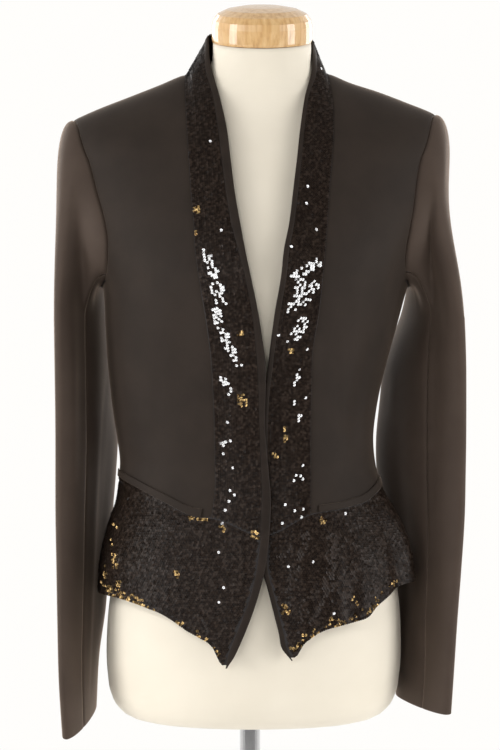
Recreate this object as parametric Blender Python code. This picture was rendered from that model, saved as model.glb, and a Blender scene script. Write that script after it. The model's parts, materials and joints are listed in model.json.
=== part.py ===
"""A cropped, fitted evening blazer, worn by a limbless dress form on a round foot.

Metres in Blender, millimetres in the tables here. The front faces -Y, up is +Z, and the pole of the
form stands on the origin. "right" and "left" are the wearer's: the right side is at -X.
"""

import math

import bpy
import numpy as np

MM = 0.001

# Cloth
CLOTH = 1.6  # thickness of the crepe and of the sequinned net on its backing
STRIP = 1.2  # thickness of a strip laid on a panel
SEAM = 0.3  # room left between two pieces that are sewn together
LAP = 2.3  # how far each front moves out or in where the right one closes over the left

# The blazer's upper body
SHOULDER_SEAM_Y = 6.0
CHEST_TOP = 1120.0  # above this height the chest and back round over to the shoulder seam
LEVEL_DROP = 110.0  # below the chest top, one level is this many millimetres
FRONT_FULLNESS = 0.85  # below 1 makes the front of a section squarer than an ellipse
NECK_MID_X = 8.0
NECK_RIGHT_X = -67.0  # where the shoulder seams meet the collar
NECK_LEFT_X = 80.0
NECK_DEPTH = 51.0  # from the shoulder seam back to the centre back of the neckline

# Collar
COLLAR_TOP_MID_X = 12.0
COLLAR_TOP_HALF = 54.5
COLLAR_TOP_DEPTH = 56.0
COLLAR_TOP_RIGHT_Z = 1255.0
COLLAR_TOP_LEFT_Z = 1247.0
COLLAR_TOP_BACK_Z = 1266.0
COLLAR_BULGE = 1.5

# Dress form
POLE_RADIUS = 10.7
BASE_RADIUS = 160.0
BASE_THICK = 8.0
BOSS_RADIUS = 24.0
BOSS_HEIGHT = 22.0
CAP_TILT = math.radians(15.4)
CAP_CENTRE = (12.5, 5.0, 1246.6)

# Each table has a row for a height or a fold, and the columns that its name line gives.
TORSO_COLUMNS = ("z", "mid", "right", "left", "front", "back")
TORSO = (
    (600, 3, -161, 166, 121, 144),
    (640, 3, -160, 165, 118, 139),
    (680, 3, -158.5, 164, 113.5, 128),
    (718, 2, -155, 159, 108.5, 115),
    (749, 0, -147, 150, 104, 105),
    (770, -1, -139.5, 142, 101, 98),
    (790, -2, -136.5, 134.5, 98.5, 93),
    (810, -3, -135, 130, 97, 90),
    (835, -3, -138, 128, 97.5, 90),
    (860, -2, -142, 130.5, 100, 92),
    (885, 0, -145, 135, 104, 95),
    (914, 1, -148, 142, 110, 99),
    (950, 3, -150, 152, 119, 103),
    (990, 6, -152.5, 163, 127, 106),
    (1005, 7, -156, 168, 127.5, 107),
    (1020, 8, -160, 173, 124.5, 108),
    (1050, 8, -168, 183, 115, 108),
    (1084, 8, -176, 191, 101, 106),
    (1115, 8, -182, 198, 87, 103),
    (1147, 8, -190, 205, 72, 98),
    (1180, 8, -196, 211, 58, 92),
    (1215, 8, -200, 216, 46, 88),
)

SHOULDER_COLUMNS = ("x", "z")
SHOULDER = (
    (-215, 1147.6),
    (-185, 1164.8),
    (-160, 1176.1),
    (-127, 1189),
    (-94, 1202),
    (-67, 1213),
    (-40, 1216.5),
    (50, 1216.5),
    (80, 1214.3),
    (103, 1204.8),
    (133, 1195),
    (162, 1184),
    (194, 1170.8),
    (225, 1151.8),
)

# A front's edges: the crepe ends at wool, the sequinned band at strip, and the front itself at edge.
FRONT_COLUMNS = ("z_wool", "wool", "z_edge", "strip", "edge", "y_edge")
FRONT_RIGHT = (
    (757, -38, 737, 10, 19.5, -104),
    (785, -34.5, 775, 11.6, 21.2, -100),
    (810, -34.6, 808, 10.2, 18.5, -97),
    (850, -35.2, 850, 8.6, 15, -99),
    (903, -37.4, 903, 6.6, 16.4, -108),
    (927, -39.4, 927, 5, 13.9, -113),
    (961, -44, 961, 1.6, 8.5, -121),
    (996, -50, 996, -5, 1.3, -127),
    (1024, -54, 1024, -12, -4.5, -123),
    (1051, -55.5, 1051, -19, -9.4, -114),
    (1084, -58.8, 1084, -24.5, -15, -100),
    (1115, -61, 1117, -29, -19, -83),
    (1147, -63.5, 1152, -33, -23.4, -64),
    (1178, -65.4, 1187, -38.5, -31.5, -46),
    (1197, -66.4, 1222, -46.5, -41, -20),
    (1213, -67, 1255, -47.5, -42.3, 5),
)
FRONT_LEFT = (
    (760, 60, 737, 17.5, 12, -104),
    (786, 60.5, 780, 17.5, 12, -100),
    (834, 60.4, 834, 17.5, 12, -97),
    (875, 60.9, 875, 19, 14, -102),
    (902, 61.3, 902, 22, 16.9, -108),
    (927, 62.5, 927, 25, 19.8, -113),
    (961, 67.9, 961, 30, 24.3, -121),
    (996, 71.5, 996, 36, 30.3, -127),
    (1024, 74.3, 1024, 39, 33.3, -122),
    (1051, 76.4, 1051, 44, 38.7, -113),
    (1084, 79, 1084, 48.3, 42.8, -98),
    (1115, 82, 1117, 52, 46.8, -81),
    (1147, 84.3, 1152, 55.5, 50.8, -63),
    (1178, 84.6, 1185, 60, 56, -45),
    (1197, 82.6, 1215, 68.5, 63.5, -22),
    (1214.3, 80, 1247, 69.5, 65.2, 5),
)

# The edges of a front below the waist, down to its point.
POINT_COLUMNS = ("z", "strip", "edge")
POINT_RIGHT = (
    (610, -26, -21),
    (626, -21, -13),
    (651, -11, -2),
    (676, -1.5, 7),
    (700, 5, 13.6),
    (711, 7, 15.9),
    (737, 10, 19.5),
)
POINT_LEFT = (
    (617, 43.5, 39.6),
    (629.5, 36.5, 31.2),
    (642, 34, 28.7),
    (664, 28.5, 23.3),
    (686, 23, 17.6),
    (700, 19, 13.6),
    (737, 17.5, 12),
)

# Waist seam and hem, each as a height at a distance from the middle.
WAIST_COLUMNS = ("x", "z")
WAIST_RIGHT = ((-137, 796), (-113, 785), (-85, 771.5), (-58, 759), (-38, 757), (10, 739), (24, 736))
WAIST_LEFT = ((8, 737), (20, 740), (60, 760), (100, 767), (124, 776), (136, 790), (150, 794))
HEM_COLUMNS = ("x", "z")
HEM_RIGHT = (
    (-162, 677),
    (-134, 675),
    (-115, 670.7),
    (-101, 666.5),
    (-88, 662),
    (-77, 656),
    (-63, 646.5),
    (-49, 639),
    (-38, 632),
    (-31, 622.5),
    (-26, 613),
    (-20, 608),
)
HEM_LEFT = (
    (39, 616),
    (45, 623.5),
    (51.5, 632.5),
    (60, 639.5),
    (71, 645.5),
    (86, 650),
    (103, 653.6),
    (117, 659),
    (125, 667),
    (134, 675),
    (142, 682),
    (150, 687),
    (176, 690),
)
WAIST_BACK_Z = 800.0
HEM_BACK_Z = 676.0

# Flutes of the skirt: where each crest is round the body, its width, how far it stands out, and the
# heights where it starts and is whole.
# Columns: angle, width, height, start, whole.
FLUTES = (
    (-66, 11, 1.2, 788, 668),
    (-36, 12, 1.4, 788, 668),
    (-14, 8, 0.8, 780, 668),
    (20, 4.6, 2.6, 760, 680),
    (31, 5.0, 3.6, 765, 680),
    (43, 5.6, 4.0, 770, 680),
    (56, 6.5, 4.2, 775, 690),
    (75, 9.0, 12.0, 812, 730),
    (112, 13, -6.0, 800, 712),
    (138, 9, 5.0, 790, 676),
    (160, 9, 5.0, 790, 676),
    (182, 9, 4.5, 790, 676),
    (204, 9, 5.0, 790, 676),
    (226, 9, 4.0, 790, 676),
    (250, 12, -4.5, 800, 715),
)

# Soft folds of the upper body: round the body, up it, their spread both ways and their depth.
# Columns: angle, angle spread, z, z spread, depth.
FOLDS = (
    (57, 7, 880, 70, 3.0),
    (64, 7, 1000, 45, 2.5),
    (-70, 8, 900, 60, 1.6),
    (150, 12, 900, 60, 2.0),
    (-150, 12, 890, 60, 2.0),
)

# Where the armhole seam runs, from the underarm to the shoulder.
ARMHOLE_COLUMNS = ("share", "x", "z")
ARMHOLE_FRONT_RIGHT = (
    (0.0, -152.5, 990),
    (0.08, -150.6, 993),
    (0.18, -147, 1003),
    (0.3, -144.6, 1020),
    (0.42, -144.8, 1040),
    (0.54, -149, 1062),
    (0.66, -156, 1086),
    (0.78, -163, 1112),
    (0.9, -174, 1142),
    (1.0, -185, 1164.8),
)
ARMHOLE_FRONT_LEFT = (
    (0.0, 163, 990),
    (0.08, 161.6, 994),
    (0.18, 160, 1006),
    (0.3, 160.2, 1026),
    (0.42, 163, 1047),
    (0.54, 166.5, 1068),
    (0.66, 169.5, 1092),
    (0.78, 174, 1118),
    (0.9, 184, 1147),
    (1.0, 194, 1170.8),
)
ARMHOLE_BACK_RIGHT = (
    (0.0, -152.5, 990),
    (0.08, -151, 993),
    (0.18, -149, 1003),
    (0.3, -147.5, 1022),
    (0.42, -148.5, 1044),
    (0.54, -152, 1067),
    (0.66, -158, 1092),
    (0.78, -165, 1116),
    (0.9, -175, 1143),
    (1.0, -185, 1164.8),
)
ARMHOLE_BACK_LEFT = (
    (0.0, 163, 990),
    (0.08, 162, 994),
    (0.18, 160.5, 1006),
    (0.3, 161, 1026),
    (0.42, 163.5, 1048),
    (0.54, 167, 1070),
    (0.66, 171, 1095),
    (0.78, 177, 1121),
    (0.9, 186, 1148),
    (1.0, 194, 1170.8),
)

# A sleeve below the underarm: how far out its two folds are, its middle, and its half breadth and thickness.
SLEEVE_COLUMNS = ("z", "outer", "inner", "y", "breadth", "thick")
SLEEVE_RIGHT = (
    (960, -199, -150, 3, 70, 15),
    (914, -198.6, -147, 5, 68, 15),
    (868, -198, -144, 6, 67, 14.5),
    (832, -197.8, -141.5, 6, 66, 14),
    (800, -197.8, -143, 5, 65, 13.5),
    (760, -197.6, -146, 2, 63, 13),
    (700, -196.3, -150, -3, 61, 12),
    (650, -195, -153, -9, 59, 11),
    (600, -193.6, -159, -14, 57, 10.5),
    (543, -190, -161.5, -18, 55, 10),
)
SLEEVE_LEFT = (
    (960, 217.6, 160, 3, 70, 15),
    (914, 219.8, 144, 5, 68, 15),
    (868, 220.4, 138, 6, 67, 14.5),
    (832, 220.5, 134.5, 6, 66, 14),
    (800, 220, 135, 5, 65, 13.5),
    (760, 218.7, 142, 2, 64, 13.5),
    (700, 214.2, 152, -2, 63, 13.5),
    (650, 210, 154, -7, 60, 13),
    (600, 206.5, 155, -11, 57, 12.5),
    (560, 203.6, 154, -14, 55, 12),
)
CAP_END = 960.0  # height at which a sleeve's cap becomes its plain tube
CAP_OUT = 75.0  # how strongly the sleeve leaves the armhole sideways
CAP_UNDER_OUT = 24.0
CAP_UNDER_UP = 16.0
CAP_DOWN = 0.9
CAP_DENT_RIGHT = 3.0  # how far the sleeve falls in again below its head
CAP_DENT_LEFT = 11.0
CAP_SHARE = 0.34  # share of a sleeve's rows that make its cap
CUFF_RISE_RIGHT = 0.2  # how much the cuff climbs towards the back
CUFF_RISE_LEFT = 0.08
SLEEVE_TWIST = 70.2  # degrees from a place on the armhole back to the place on the tube that it leads to
TWIST_REACH = 120.0  # degrees from the underarm at which that twist is whole
FRONT_SLEEVE_SEAM = -61.2  # degrees round the armhole, from its front
BACK_SLEEVE_SEAM = 189.0
# Soft folds of both sleeves. Columns: angle, angle spread, z, z spread, depth.
SLEEVE_FOLDS = (
    (302, 16, 900, 120, 3.2),
    (250, 14, 740, 110, 2.6),
    (60, 18, 860, 110, 2.0),
    (120, 16, 700, 120, 2.0),
)

# The form's rings: "pinch" above 1 narrows a ring towards its sides, and "tilt" lowers its front.
# Columns: z, mid, half, front, back, pinch, tilt.
FORM = (
    (541, 3, 96, 60, 84, 1, 0),
    (542.5, 3, 112, 74, 100, 1, 0),
    (547, 3, 127, 87, 114, 1, 0),
    (556, 3.2, 139.5, 97, 125, 1, 0),
    (570, 3.4, 147.5, 104, 132, 1, 0),
    (592, 3.6, 151.5, 107.5, 134, 1, 0),
    (636, 4, 152.5, 107.5, 129, 1, 0),
    (676, 4.5, 149, 104, 117, 1, 0),
    (720, 4.5, 139, 99, 103, 1, 0),
    (760, 3.5, 125, 92, 88, 1, 0),
    (800, 2.5, 115, 86, 79, 1, 0),
    (822, 2.5, 112.5, 84, 77, 1, 0),
    (850, 3, 115, 87, 79, 1, 0),
    (900, 4, 125, 97, 86, 1, 0),
    (950, 6, 134, 109, 92, 1, 0),
    (990, 8, 139, 116, 95, 1, 0),
    (1035, 9, 141, 108, 97, 1, 0),
    (1075, 9.5, 144, 93, 96, 1, 0),
    (1108, 10, 148, 78, 92, 1.05, 0),
    (1134, 10, 149, 64, 83, 1.2, 0),
    (1154, 10, 145, 54, 74, 1.4, 0),
    (1170, 10, 136, 48, 67, 1.7, 0),
    (1182, 10, 124, 45.5, 58, 1.95, 0),
    (1191, 10, 109, 44.5, 54, 2.1, 0),
    (1198, 10.5, 91, 44.5, 51, 1.9, 0.02),
    (1204, 11, 73, 44.5, 50.5, 1.5, 0.05),
    (1213, 11.6, 60, 45, 51, 1.15, 0.1),
    (1224, 12.2, 53, 46, 52, 1, 0.18),
    (1236, 12.5, 51.2, 46.5, 53.5, 1, 0.25),
    (1246.6, 12.5, 51, 46.5, 55, 1, 0.275),
)
# The neck cap, turned. Columns: radius, height above its underside.
CAP_PROFILE = (
    (49.5, 0),
    (51.7, 0.6),
    (52.4, 3),
    (52.4, 17),
    (51, 23.5),
    (46.5, 29.5),
    (37, 34),
    (22, 36.8),
    (8, 37.6),
)

# The rows of a front and a back, as shares of the way from the waist to the shoulder.
ARM_START = 0.5  # below this share lies the side seam, above it the armhole
UNDERARM_Z = 990.0
LOW_ROWS = (0.0, 0.02, 0.09, 0.16, 0.23, 0.3, 0.37, 0.44)
FRONT_ARM_SHARES = (0.0, 0.07, 0.16, 0.25, 0.3444, 0.45, 0.56, 0.67, 0.78, 0.89, 1.0)
BACK_ARM_SHARES = (0.0, 0.055, 0.11, 0.1767, 0.2556, 0.35, 0.45, 0.56, 0.67, 0.78, 0.89, 1.0)
WAIST_BLEND = 0.3  # share of a panel over which its rows ease from the waist seam's slope to level

# Rough lengths, which turn the room left at a seam into a share of a piece
PANEL_HEIGHT = 430.0
PANEL_WIDTH = 150.0
CREPE_WIDTH = 110.0
BAND_WIDTH = 45.0
STRIP_WIDTH = 6.0
SKIRT_HEIGHT = 110.0
SKIRT_BACK_WIDTH = 450.0
COLLAR_LENGTH = 200.0

# Where the fronts lie over each other
LAP_RIGHT_X = (-34.0, -6.0)
LAP_LEFT_X = (52.0, 26.0)
LAP_Z = (985.0, 915.0)

# Details of the walls
DIFFERENCE = 1e-3  # step, as a share of a panel, for reading its slope
BAND_BULGE = 1.5
NECK_EDGE_Z = 1185.0  # above this height the band leaves the chest and stands up the neck
BAND_LEAVES_Z = (1060.0, 1150.0)  # and it starts to leave it over this stretch
NECK_SEAM_Z = 1205.0  # about the height of the seam between the collar and the back
SKIRT_POINT_RISE = 3.0
STRIP_POINT = -1.025  # the strip's lowest row, a little below the skirt's
ARMHOLE_GAP = 0.5
SLEEVE_FULLNESS = 0.85
SLEEVE_SEAM_GAP = 0.5  # degrees
SHOULDER_GAP = 0.3
SKIRT_TOP_GAP = 1.2
BAND_END_GAP = 1.0
COLLAR_END_GAP = 0.5
COLLAR_BASE_GAP = 0.015  # share of the collar's height
NECK_COLUMNS = 6  # of each half of the back, along the collar's seam
WAIST_STRIP_START = 0.001
STRIP_LIFT = 0.55  # room under a strip that is laid on a panel

COLOURS = {
    "crepe": ((0.040, 0.030, 0.026), 0.85, 0.0),
    "sequin": ((0.020, 0.014, 0.013), 0.3, 0.35),
    "jersey": ((0.86, 0.82, 0.73), 0.8, 0.0),
    "maple": ((0.72, 0.47, 0.24), 0.35, 0.0),
    "chrome": ((0.75, 0.75, 0.76), 0.15, 1.0),
}


def smooth_at(keys, values, key):
    """A smooth curve through the rows of a table, read at any key inside or near it."""
    keys = np.asarray(keys, float)
    values = np.asarray(values, float)
    steps = np.diff(keys)
    slopes = np.diff(values) / steps
    tangents = np.empty(len(keys))
    tangents[0] = slopes[0]
    tangents[-1] = slopes[-1]
    tangents[1:-1] = (slopes[:-1] * steps[1:] + slopes[1:] * steps[:-1]) / (steps[:-1] + steps[1:])
    i = np.clip(np.searchsorted(keys, key) - 1, 0, len(keys) - 2)
    step = steps[i]
    t = (key - keys[i]) / step
    inside = np.clip(t, 0.0, 1.0)
    start = (1 + 2 * inside) * (1 - inside) ** 2 * values[i] + inside * (1 - inside) ** 2 * step * tangents[i]
    end = inside**2 * (3 - 2 * inside) * values[i + 1] + inside**2 * (inside - 1) * step * tangents[i + 1]
    beyond = (t - inside) * step * np.where(t < 0, tangents[i], tangents[i + 1])
    return start + end + beyond


def read(table, columns, key_name, name, key):
    rows = sorted(table, key=lambda row: row[columns.index(key_name)])
    keys = [row[columns.index(key_name)] for row in rows]
    values = [row[columns.index(name)] for row in rows]
    return smooth_at(keys, values, np.asarray(key, float))


def ease(start, end, value):
    """0 before start, 1 after end, and a soft step between."""
    t = np.clip((np.asarray(value, float) - start) / (end - start), 0.0, 1.0)
    return t * t * (3 - 2 * t)


def mix(a, b, share):
    return a + (b - a) * share


def shoulder_z(x):
    return read(SHOULDER, SHOULDER_COLUMNS, "x", "z", x)


def level_of(x, z):
    """A point's level: 0 at the chest top, 1 on the shoulder seam, negative lower down."""
    rise = z - CHEST_TOP
    span = shoulder_z(x) - CHEST_TOP
    high = np.arcsin(np.clip(rise / span, 0.0, 1.0)) / (math.pi / 2)
    return np.where(rise < 0, rise / LEVEL_DROP, high)


def height_of(x, level):
    span = shoulder_z(x) - CHEST_TOP
    high = span * np.sin(np.maximum(level, 0) * math.pi / 2)
    return CHEST_TOP + np.where(level < 0, LEVEL_DROP * level, high)


def torso_x(angle, z):
    mid = read(TORSO, TORSO_COLUMNS, "z", "mid", z)
    right = read(TORSO, TORSO_COLUMNS, "z", "right", z)
    left = read(TORSO, TORSO_COLUMNS, "z", "left", z)
    sine = np.sin(angle)
    return mid + np.where(sine < 0, mid - right, left - mid) * sine


def angle_of(x, z):
    """How far round the front a point at x is, in radians, negative on the wearer's right."""
    mid = read(TORSO, TORSO_COLUMNS, "z", "mid", z)
    right = read(TORSO, TORSO_COLUMNS, "z", "right", z)
    left = read(TORSO, TORSO_COLUMNS, "z", "left", z)
    half = np.where(x < mid, mid - right, left - mid)
    return np.arcsin(np.clip((x - mid) / half, -1.0, 1.0))


def turns_between(angle, centre):
    """Degrees from centre to angle the short way round."""
    return (np.degrees(angle) - centre + 180.0) % 360.0 - 180.0


def cloth_relief(angle, z):
    """How far the cloth stands out of the plain torso: flutes in the skirt, soft folds higher up."""
    out = np.zeros(np.broadcast(angle, z).shape)
    for centre, width, height, start, whole in FLUTES:
        hang = ease(start, whole, z)
        out = out + hang * height * np.exp(-((turns_between(angle, centre) / width) ** 2))
    for centre, width, middle, spread, depth in FOLDS:
        across = np.exp(-((turns_between(angle, centre) / width) ** 2))
        out = out - depth * across * np.exp(-(((z - middle) / spread) ** 2))
    return out


def torso(angle, level):
    """The outer face of the blazer's body at an angle round it and a level up it."""
    angle = np.asarray(angle, float)
    level = np.asarray(level, float)
    x = NECK_MID_X + 150.0 * np.sin(angle)
    for _ in range(6):
        z = height_of(x, level)
        x = torso_x(angle, z)
    front = read(TORSO, TORSO_COLUMNS, "z", "front", z)
    back = read(TORSO, TORSO_COLUMNS, "z", "back", z)
    cosine = np.cos(angle)
    y = np.where(cosine > 0, -front * np.abs(cosine) ** FRONT_FULLNESS, back * np.abs(cosine))
    roll = np.cos(np.maximum(level, 0) * math.pi / 2)
    relief = cloth_relief(angle, z) * (1 - ease(0.0, 0.6, level))
    x = x + relief * np.sin(angle)
    y = mix(SHOULDER_SEAM_Y, y, roll) - relief * cosine
    return np.stack([x, y, z], axis=-1)


def torso_at(x, z):
    """The torso's front at a distance from the middle and a height."""
    return torso(angle_of(x, z), level_of(x, z))


def lap_of(side, x, z):
    """How far a front stands out near the middle, where one lies over the other."""
    if side < 0:
        near = ease(*LAP_RIGHT_X, x)
    else:
        near = -ease(*LAP_LEFT_X, x)
    return LAP * near * ease(*LAP_Z, z)


def with_lap(points, side):
    points = points.copy()
    points[..., 1] -= lap_of(side, points[..., 0], points[..., 2])
    return points


def side_name(side):
    return "right" if side < 0 else "left"


def tables_of(side):
    if side < 0:
        return FRONT_RIGHT, POINT_RIGHT, WAIST_RIGHT, HEM_RIGHT
    return FRONT_LEFT, POINT_LEFT, WAIST_LEFT, HEM_LEFT


def armholes_of(side):
    if side < 0:
        return ARMHOLE_FRONT_RIGHT, ARMHOLE_BACK_RIGHT
    return ARMHOLE_FRONT_LEFT, ARMHOLE_BACK_LEFT


def front_row(side, name, share):
    """A column of a front's table at a share of the way up it, its rows evenly shared."""
    table = tables_of(side)[0]
    rows = np.linspace(0.0, 1.0, len(table))
    values = [row[FRONT_COLUMNS.index(name)] for row in table]
    return smooth_at(rows, values, np.asarray(share, float))


def panel_rows(arm_shares, top_gap):
    """A panel's rows, the same on pieces that share a seam, from just above the waist to the shoulder."""
    rows = np.array(LOW_ROWS + tuple(mix(ARM_START, 1.0, share) for share in arm_shares))
    rows[0] = SEAM / 2 / PANEL_HEIGHT
    rows[-1] = 1 - top_gap / PANEL_HEIGHT
    return rows


def row_levels(table, x_index, z_index):
    """The level of each row of a table, so that what is read between rows eases onto the shoulder seam."""
    x = np.array([row[x_index] for row in table], float)
    z = np.array([row[z_index] for row in table], float)
    return level_of(x, np.minimum(z, shoulder_z(x)))


def armhole_edge(side, table, share):
    """Angle and level of the armhole's seam at a share of the way from the underarm to the shoulder."""
    share = np.asarray(share, float)
    keys = [row[0] for row in table]
    x = read(table, ARMHOLE_COLUMNS, "share", "x", share)
    level = smooth_at(keys, row_levels(table, 1, 2), share)
    z = height_of(x, level)
    angle = mix(side * math.pi / 2, angle_of(x, z), ease(0.0, 0.07, share))
    return angle, level


def edge_height(side, angle, table, columns, back_z):
    """Height of the waist seam or hem at an angle: its table in front, and level round the back."""
    angle = np.asarray(angle, float)
    turned = np.abs((angle + math.pi) % (2 * math.pi) - math.pi)
    front_angle = side * np.minimum(turned, math.pi / 2) * np.where(np.sin(angle) * side < 0, -1, 1)
    front_angle = np.where(turned < math.pi / 2, np.arctan2(np.sin(angle), np.cos(angle)), front_angle)
    z = np.full(angle.shape, 0.5 * (table[0][1] + table[-1][1]))
    for _ in range(6):
        z = read(table, columns, "x", "z", torso_x(front_angle, z))
    return mix(z, back_z, ease(math.pi / 2, 0.8 * math.pi, turned))


def waist_height(side, angle):
    return edge_height(side, angle, tables_of(side)[2], WAIST_COLUMNS, WAIST_BACK_Z)


def hem_height(side, angle):
    return edge_height(side, angle, tables_of(side)[3], HEM_COLUMNS, HEM_BACK_Z)


def level_at(angle, z):
    return level_of(torso_x(angle, z), z)


def outer_edge(side, table, v):
    """The side seam from the waist to the underarm and then the armhole, as one edge of a panel."""
    v = np.asarray(v, float)
    under = np.full(v.shape, side * math.pi / 2)
    waist_z = waist_height(side, under)
    low_z = mix(waist_z, UNDERARM_Z, np.minimum(v / ARM_START, 1.0))
    high_angle, high_level = armhole_edge(side, table, np.clip((v - ARM_START) / (1 - ARM_START), 0.0, 1.2))
    low = v < ARM_START
    return np.where(low, under, high_angle), np.where(low, level_at(under, low_z), high_level)


def to_waist(side, level, base_angle, base_level, v):
    """The level, shifted near the waist so that the panel's lowest row lies on the waist seam."""
    lift = level_at(base_angle, waist_height(side, base_angle)) - base_level
    return level + lift * (1 - ease(0.0, WAIST_BLEND, np.abs(v)))


def wool_edge(side, v):
    """Angle and level of the seam between the crepe and the band, from the waist to the neck."""
    table = tables_of(side)[0]
    rows = np.linspace(0.0, 1.0, len(table))
    level = smooth_at(rows, row_levels(table, 1, 0), np.asarray(v, float))
    x = front_row(side, "wool", v)
    return angle_of(x, height_of(x, level)), level


def front_surface(side):
    """The crepe front: u from the band to the side seam and armhole, v from the waist to the shoulder."""
    table = armholes_of(side)[0]

    def edges(u, v):
        inner_angle, inner_level = wool_edge(side, v)
        outer_angle, outer_level = outer_edge(side, table, v)
        return mix(inner_angle, outer_angle, u), mix(inner_level, outer_level, u)

    def surface(u, v):
        angle, level = edges(u, v)
        base_angle, base_level = edges(u, np.zeros_like(v))
        level = to_waist(side, level, base_angle, base_level, v)
        return with_lap(torso(angle, level), side)

    return surface


def neckline(u):
    """The seam between back and collar: u from the right shoulder seam round the back to the left."""
    turn = math.pi * np.asarray(u, float)
    half = np.where(np.cos(turn) > 0, NECK_MID_X - NECK_RIGHT_X, NECK_LEFT_X - NECK_MID_X)
    x = NECK_MID_X - half * np.cos(turn)
    y = SHOULDER_SEAM_Y + NECK_DEPTH * np.sin(turn)
    return neckline_point(x, y)


def neckline_y(x):
    half = np.where(x < NECK_MID_X, NECK_MID_X - NECK_RIGHT_X, NECK_LEFT_X - NECK_MID_X)
    reach = np.clip((x - NECK_MID_X) / half, -1.0, 1.0)
    return SHOULDER_SEAM_Y + NECK_DEPTH * np.sqrt(1 - reach**2)


def neckline_point(x, y):
    z = np.full(np.shape(x), NECK_SEAM_Z)
    for _ in range(8):
        depth = read(TORSO, TORSO_COLUMNS, "z", "back", z) * np.cos(angle_of(x, z))
        share = (y - SHOULDER_SEAM_Y) / (depth - SHOULDER_SEAM_Y)
        level = np.arccos(np.clip(share, -1.0, 1.0)) / (math.pi / 2)
        z = height_of(x, level)
    return x, y, z, level


def back_top_level(angle):
    """Level of the back's upper edge: the neckline near the middle, the shoulder seam beyond it."""
    x = torso_x(angle, NECK_SEAM_Z + 0 * angle)
    level = neckline_point(x, neckline_y(x))[3]
    outside = (x < NECK_RIGHT_X) | (x > NECK_LEFT_X)
    return np.where(outside, 1.0, level)


def back_surface(side):
    """A half of the back: u from the centre seam to the side seam and armhole, v from waist to shoulder."""
    table = armholes_of(side)[1]
    middle = side * math.pi

    def edges(u, v):
        outer_angle, outer_level = outer_edge(side, table, v)
        outer_angle = side * math.pi - outer_angle
        inner_angle = np.full(v.shape, middle)
        top = back_top_level(inner_angle)
        bottom = level_at(inner_angle, np.full(v.shape, WAIST_BACK_Z))
        return mix(inner_angle, outer_angle, u), mix(mix(bottom, top, v), outer_level, u)

    def surface(u, v):
        angle, level = edges(u, v)
        base_angle, base_level = edges(u, np.zeros_like(v))
        level = to_waist(side, level, base_angle, base_level, v)
        top_angle, top_level = edges(u, np.ones_like(v))
        level = level + (back_top_level(top_angle) - top_level) * ease(0.55, 1.0, v)
        return torso(angle, level)

    return surface


def neck_share(side):
    """How far across the back's upper edge the shoulder seam starts."""
    neck_x = NECK_RIGHT_X if side < 0 else NECK_LEFT_X
    tip_x = armholes_of(side)[1][-1][1]
    return float(angle_of(neck_x, NECK_SEAM_Z) / angle_of(tip_x, shoulder_z(tip_x)))


def edge_surface(side):
    """The band and its edge strip: u from the crepe to the front's edge, v from the waist to the neck."""

    def edges(u, v):
        wool_angle, wool_level = wool_edge(side, v)
        edge_x = front_row(side, "edge", v)
        edge_z = np.minimum(front_row(side, "z_edge", v), NECK_EDGE_Z)
        angle = mix(wool_angle, angle_of(edge_x, edge_z), u)
        return angle, mix(wool_level, level_of(edge_x, edge_z), u)

    def surface(u, v):
        angle, level = edges(u, v)
        base_angle, base_level = edges(u, np.zeros_like(v))
        level = to_waist(side, level, base_angle, base_level, v)
        wool_point = torso(*wool_edge(side, v))
        edge_point = np.stack([front_row(side, name, v) for name in ("edge", "y_edge", "z_edge")], axis=-1)
        ruled = mix(wool_point, edge_point, u[..., None])
        ruled[..., 1] -= BAND_BULGE * 4 * u * (1 - u) * (1 - ease(0.9, 1.0, v))
        share = ease(*BAND_LEAVES_Z, wool_point[..., 2]) * ease(0.0, 0.25, u)
        return with_lap(mix(torso(angle, level), ruled, share[..., None]), side)

    return surface


def band_share(side, v):
    """How far across from crepe to edge the band ends and the strip starts."""
    wool = front_row(side, "wool", v)
    edge = front_row(side, "edge", v)
    return (front_row(side, "strip", v) - wool) / (edge - wool)


def point_column(side, name, z):
    return read(tables_of(side)[1], POINT_COLUMNS, "z", name, z)


def inner_height(side, share):
    """Height along the edge between skirt and strip, from the skirt's lowest point (0) to the waist (1)."""
    point = tables_of(side)[1]
    return mix(point[0][0] + SKIRT_POINT_RISE, point[-1][0], share)


def strip_surface(side):
    """The plain strip of a front: u across it, v from the skirt's point (-1) past the waist (0) up."""
    whole = edge_surface(side)
    waist_z = tables_of(side)[1][-1][0]

    def surface(u, v):
        up = np.maximum(v, 0.0)
        above = whole(mix(band_share(side, up), 1.0, u), up)
        z = inner_height(side, 1 + np.minimum(v, 0.0))
        x = mix(point_column(side, "strip", z), point_column(side, "edge", z), u)
        z = z + (above[..., 2] - waist_z) * (1 - ease(0.0, 0.5, -v)) * u
        below = with_lap(torso_at(x, z), side)
        return np.where((v >= 0)[..., None], above, below)

    return surface


def skirt_surface(side):
    """A sequinned front of the skirt: u from the strip to the side seam, v from the hem to the waist."""

    def column_angle(u, v):
        z = inner_height(side, v)
        return mix(angle_of(point_column(side, "strip", z), z), side * math.pi / 2, u)

    def surface(u, v):
        top = waist_height(side, column_angle(u, np.ones_like(v)))
        bottom = hem_height(side, column_angle(u, np.zeros_like(v)))
        angle = column_angle(u, v)
        z = mix(bottom, top, v)
        z = mix(inner_height(side, v), z, ease(0.0, 0.06, u))
        return with_lap(torso(angle, level_at(angle, z)), side)

    return surface


def skirt_back_surface(u, v):
    """The back of the skirt: u from the right side seam round to the left, v from the hem to the waist."""
    angle = -math.pi / 2 - math.pi * u
    right = np.sin(angle) < 0
    top = np.where(right, waist_height(-1, angle), waist_height(1, angle))
    bottom = np.where(right, hem_height(-1, angle), hem_height(1, angle))
    return torso(angle, level_at(angle, mix(bottom, top, v)))


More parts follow.
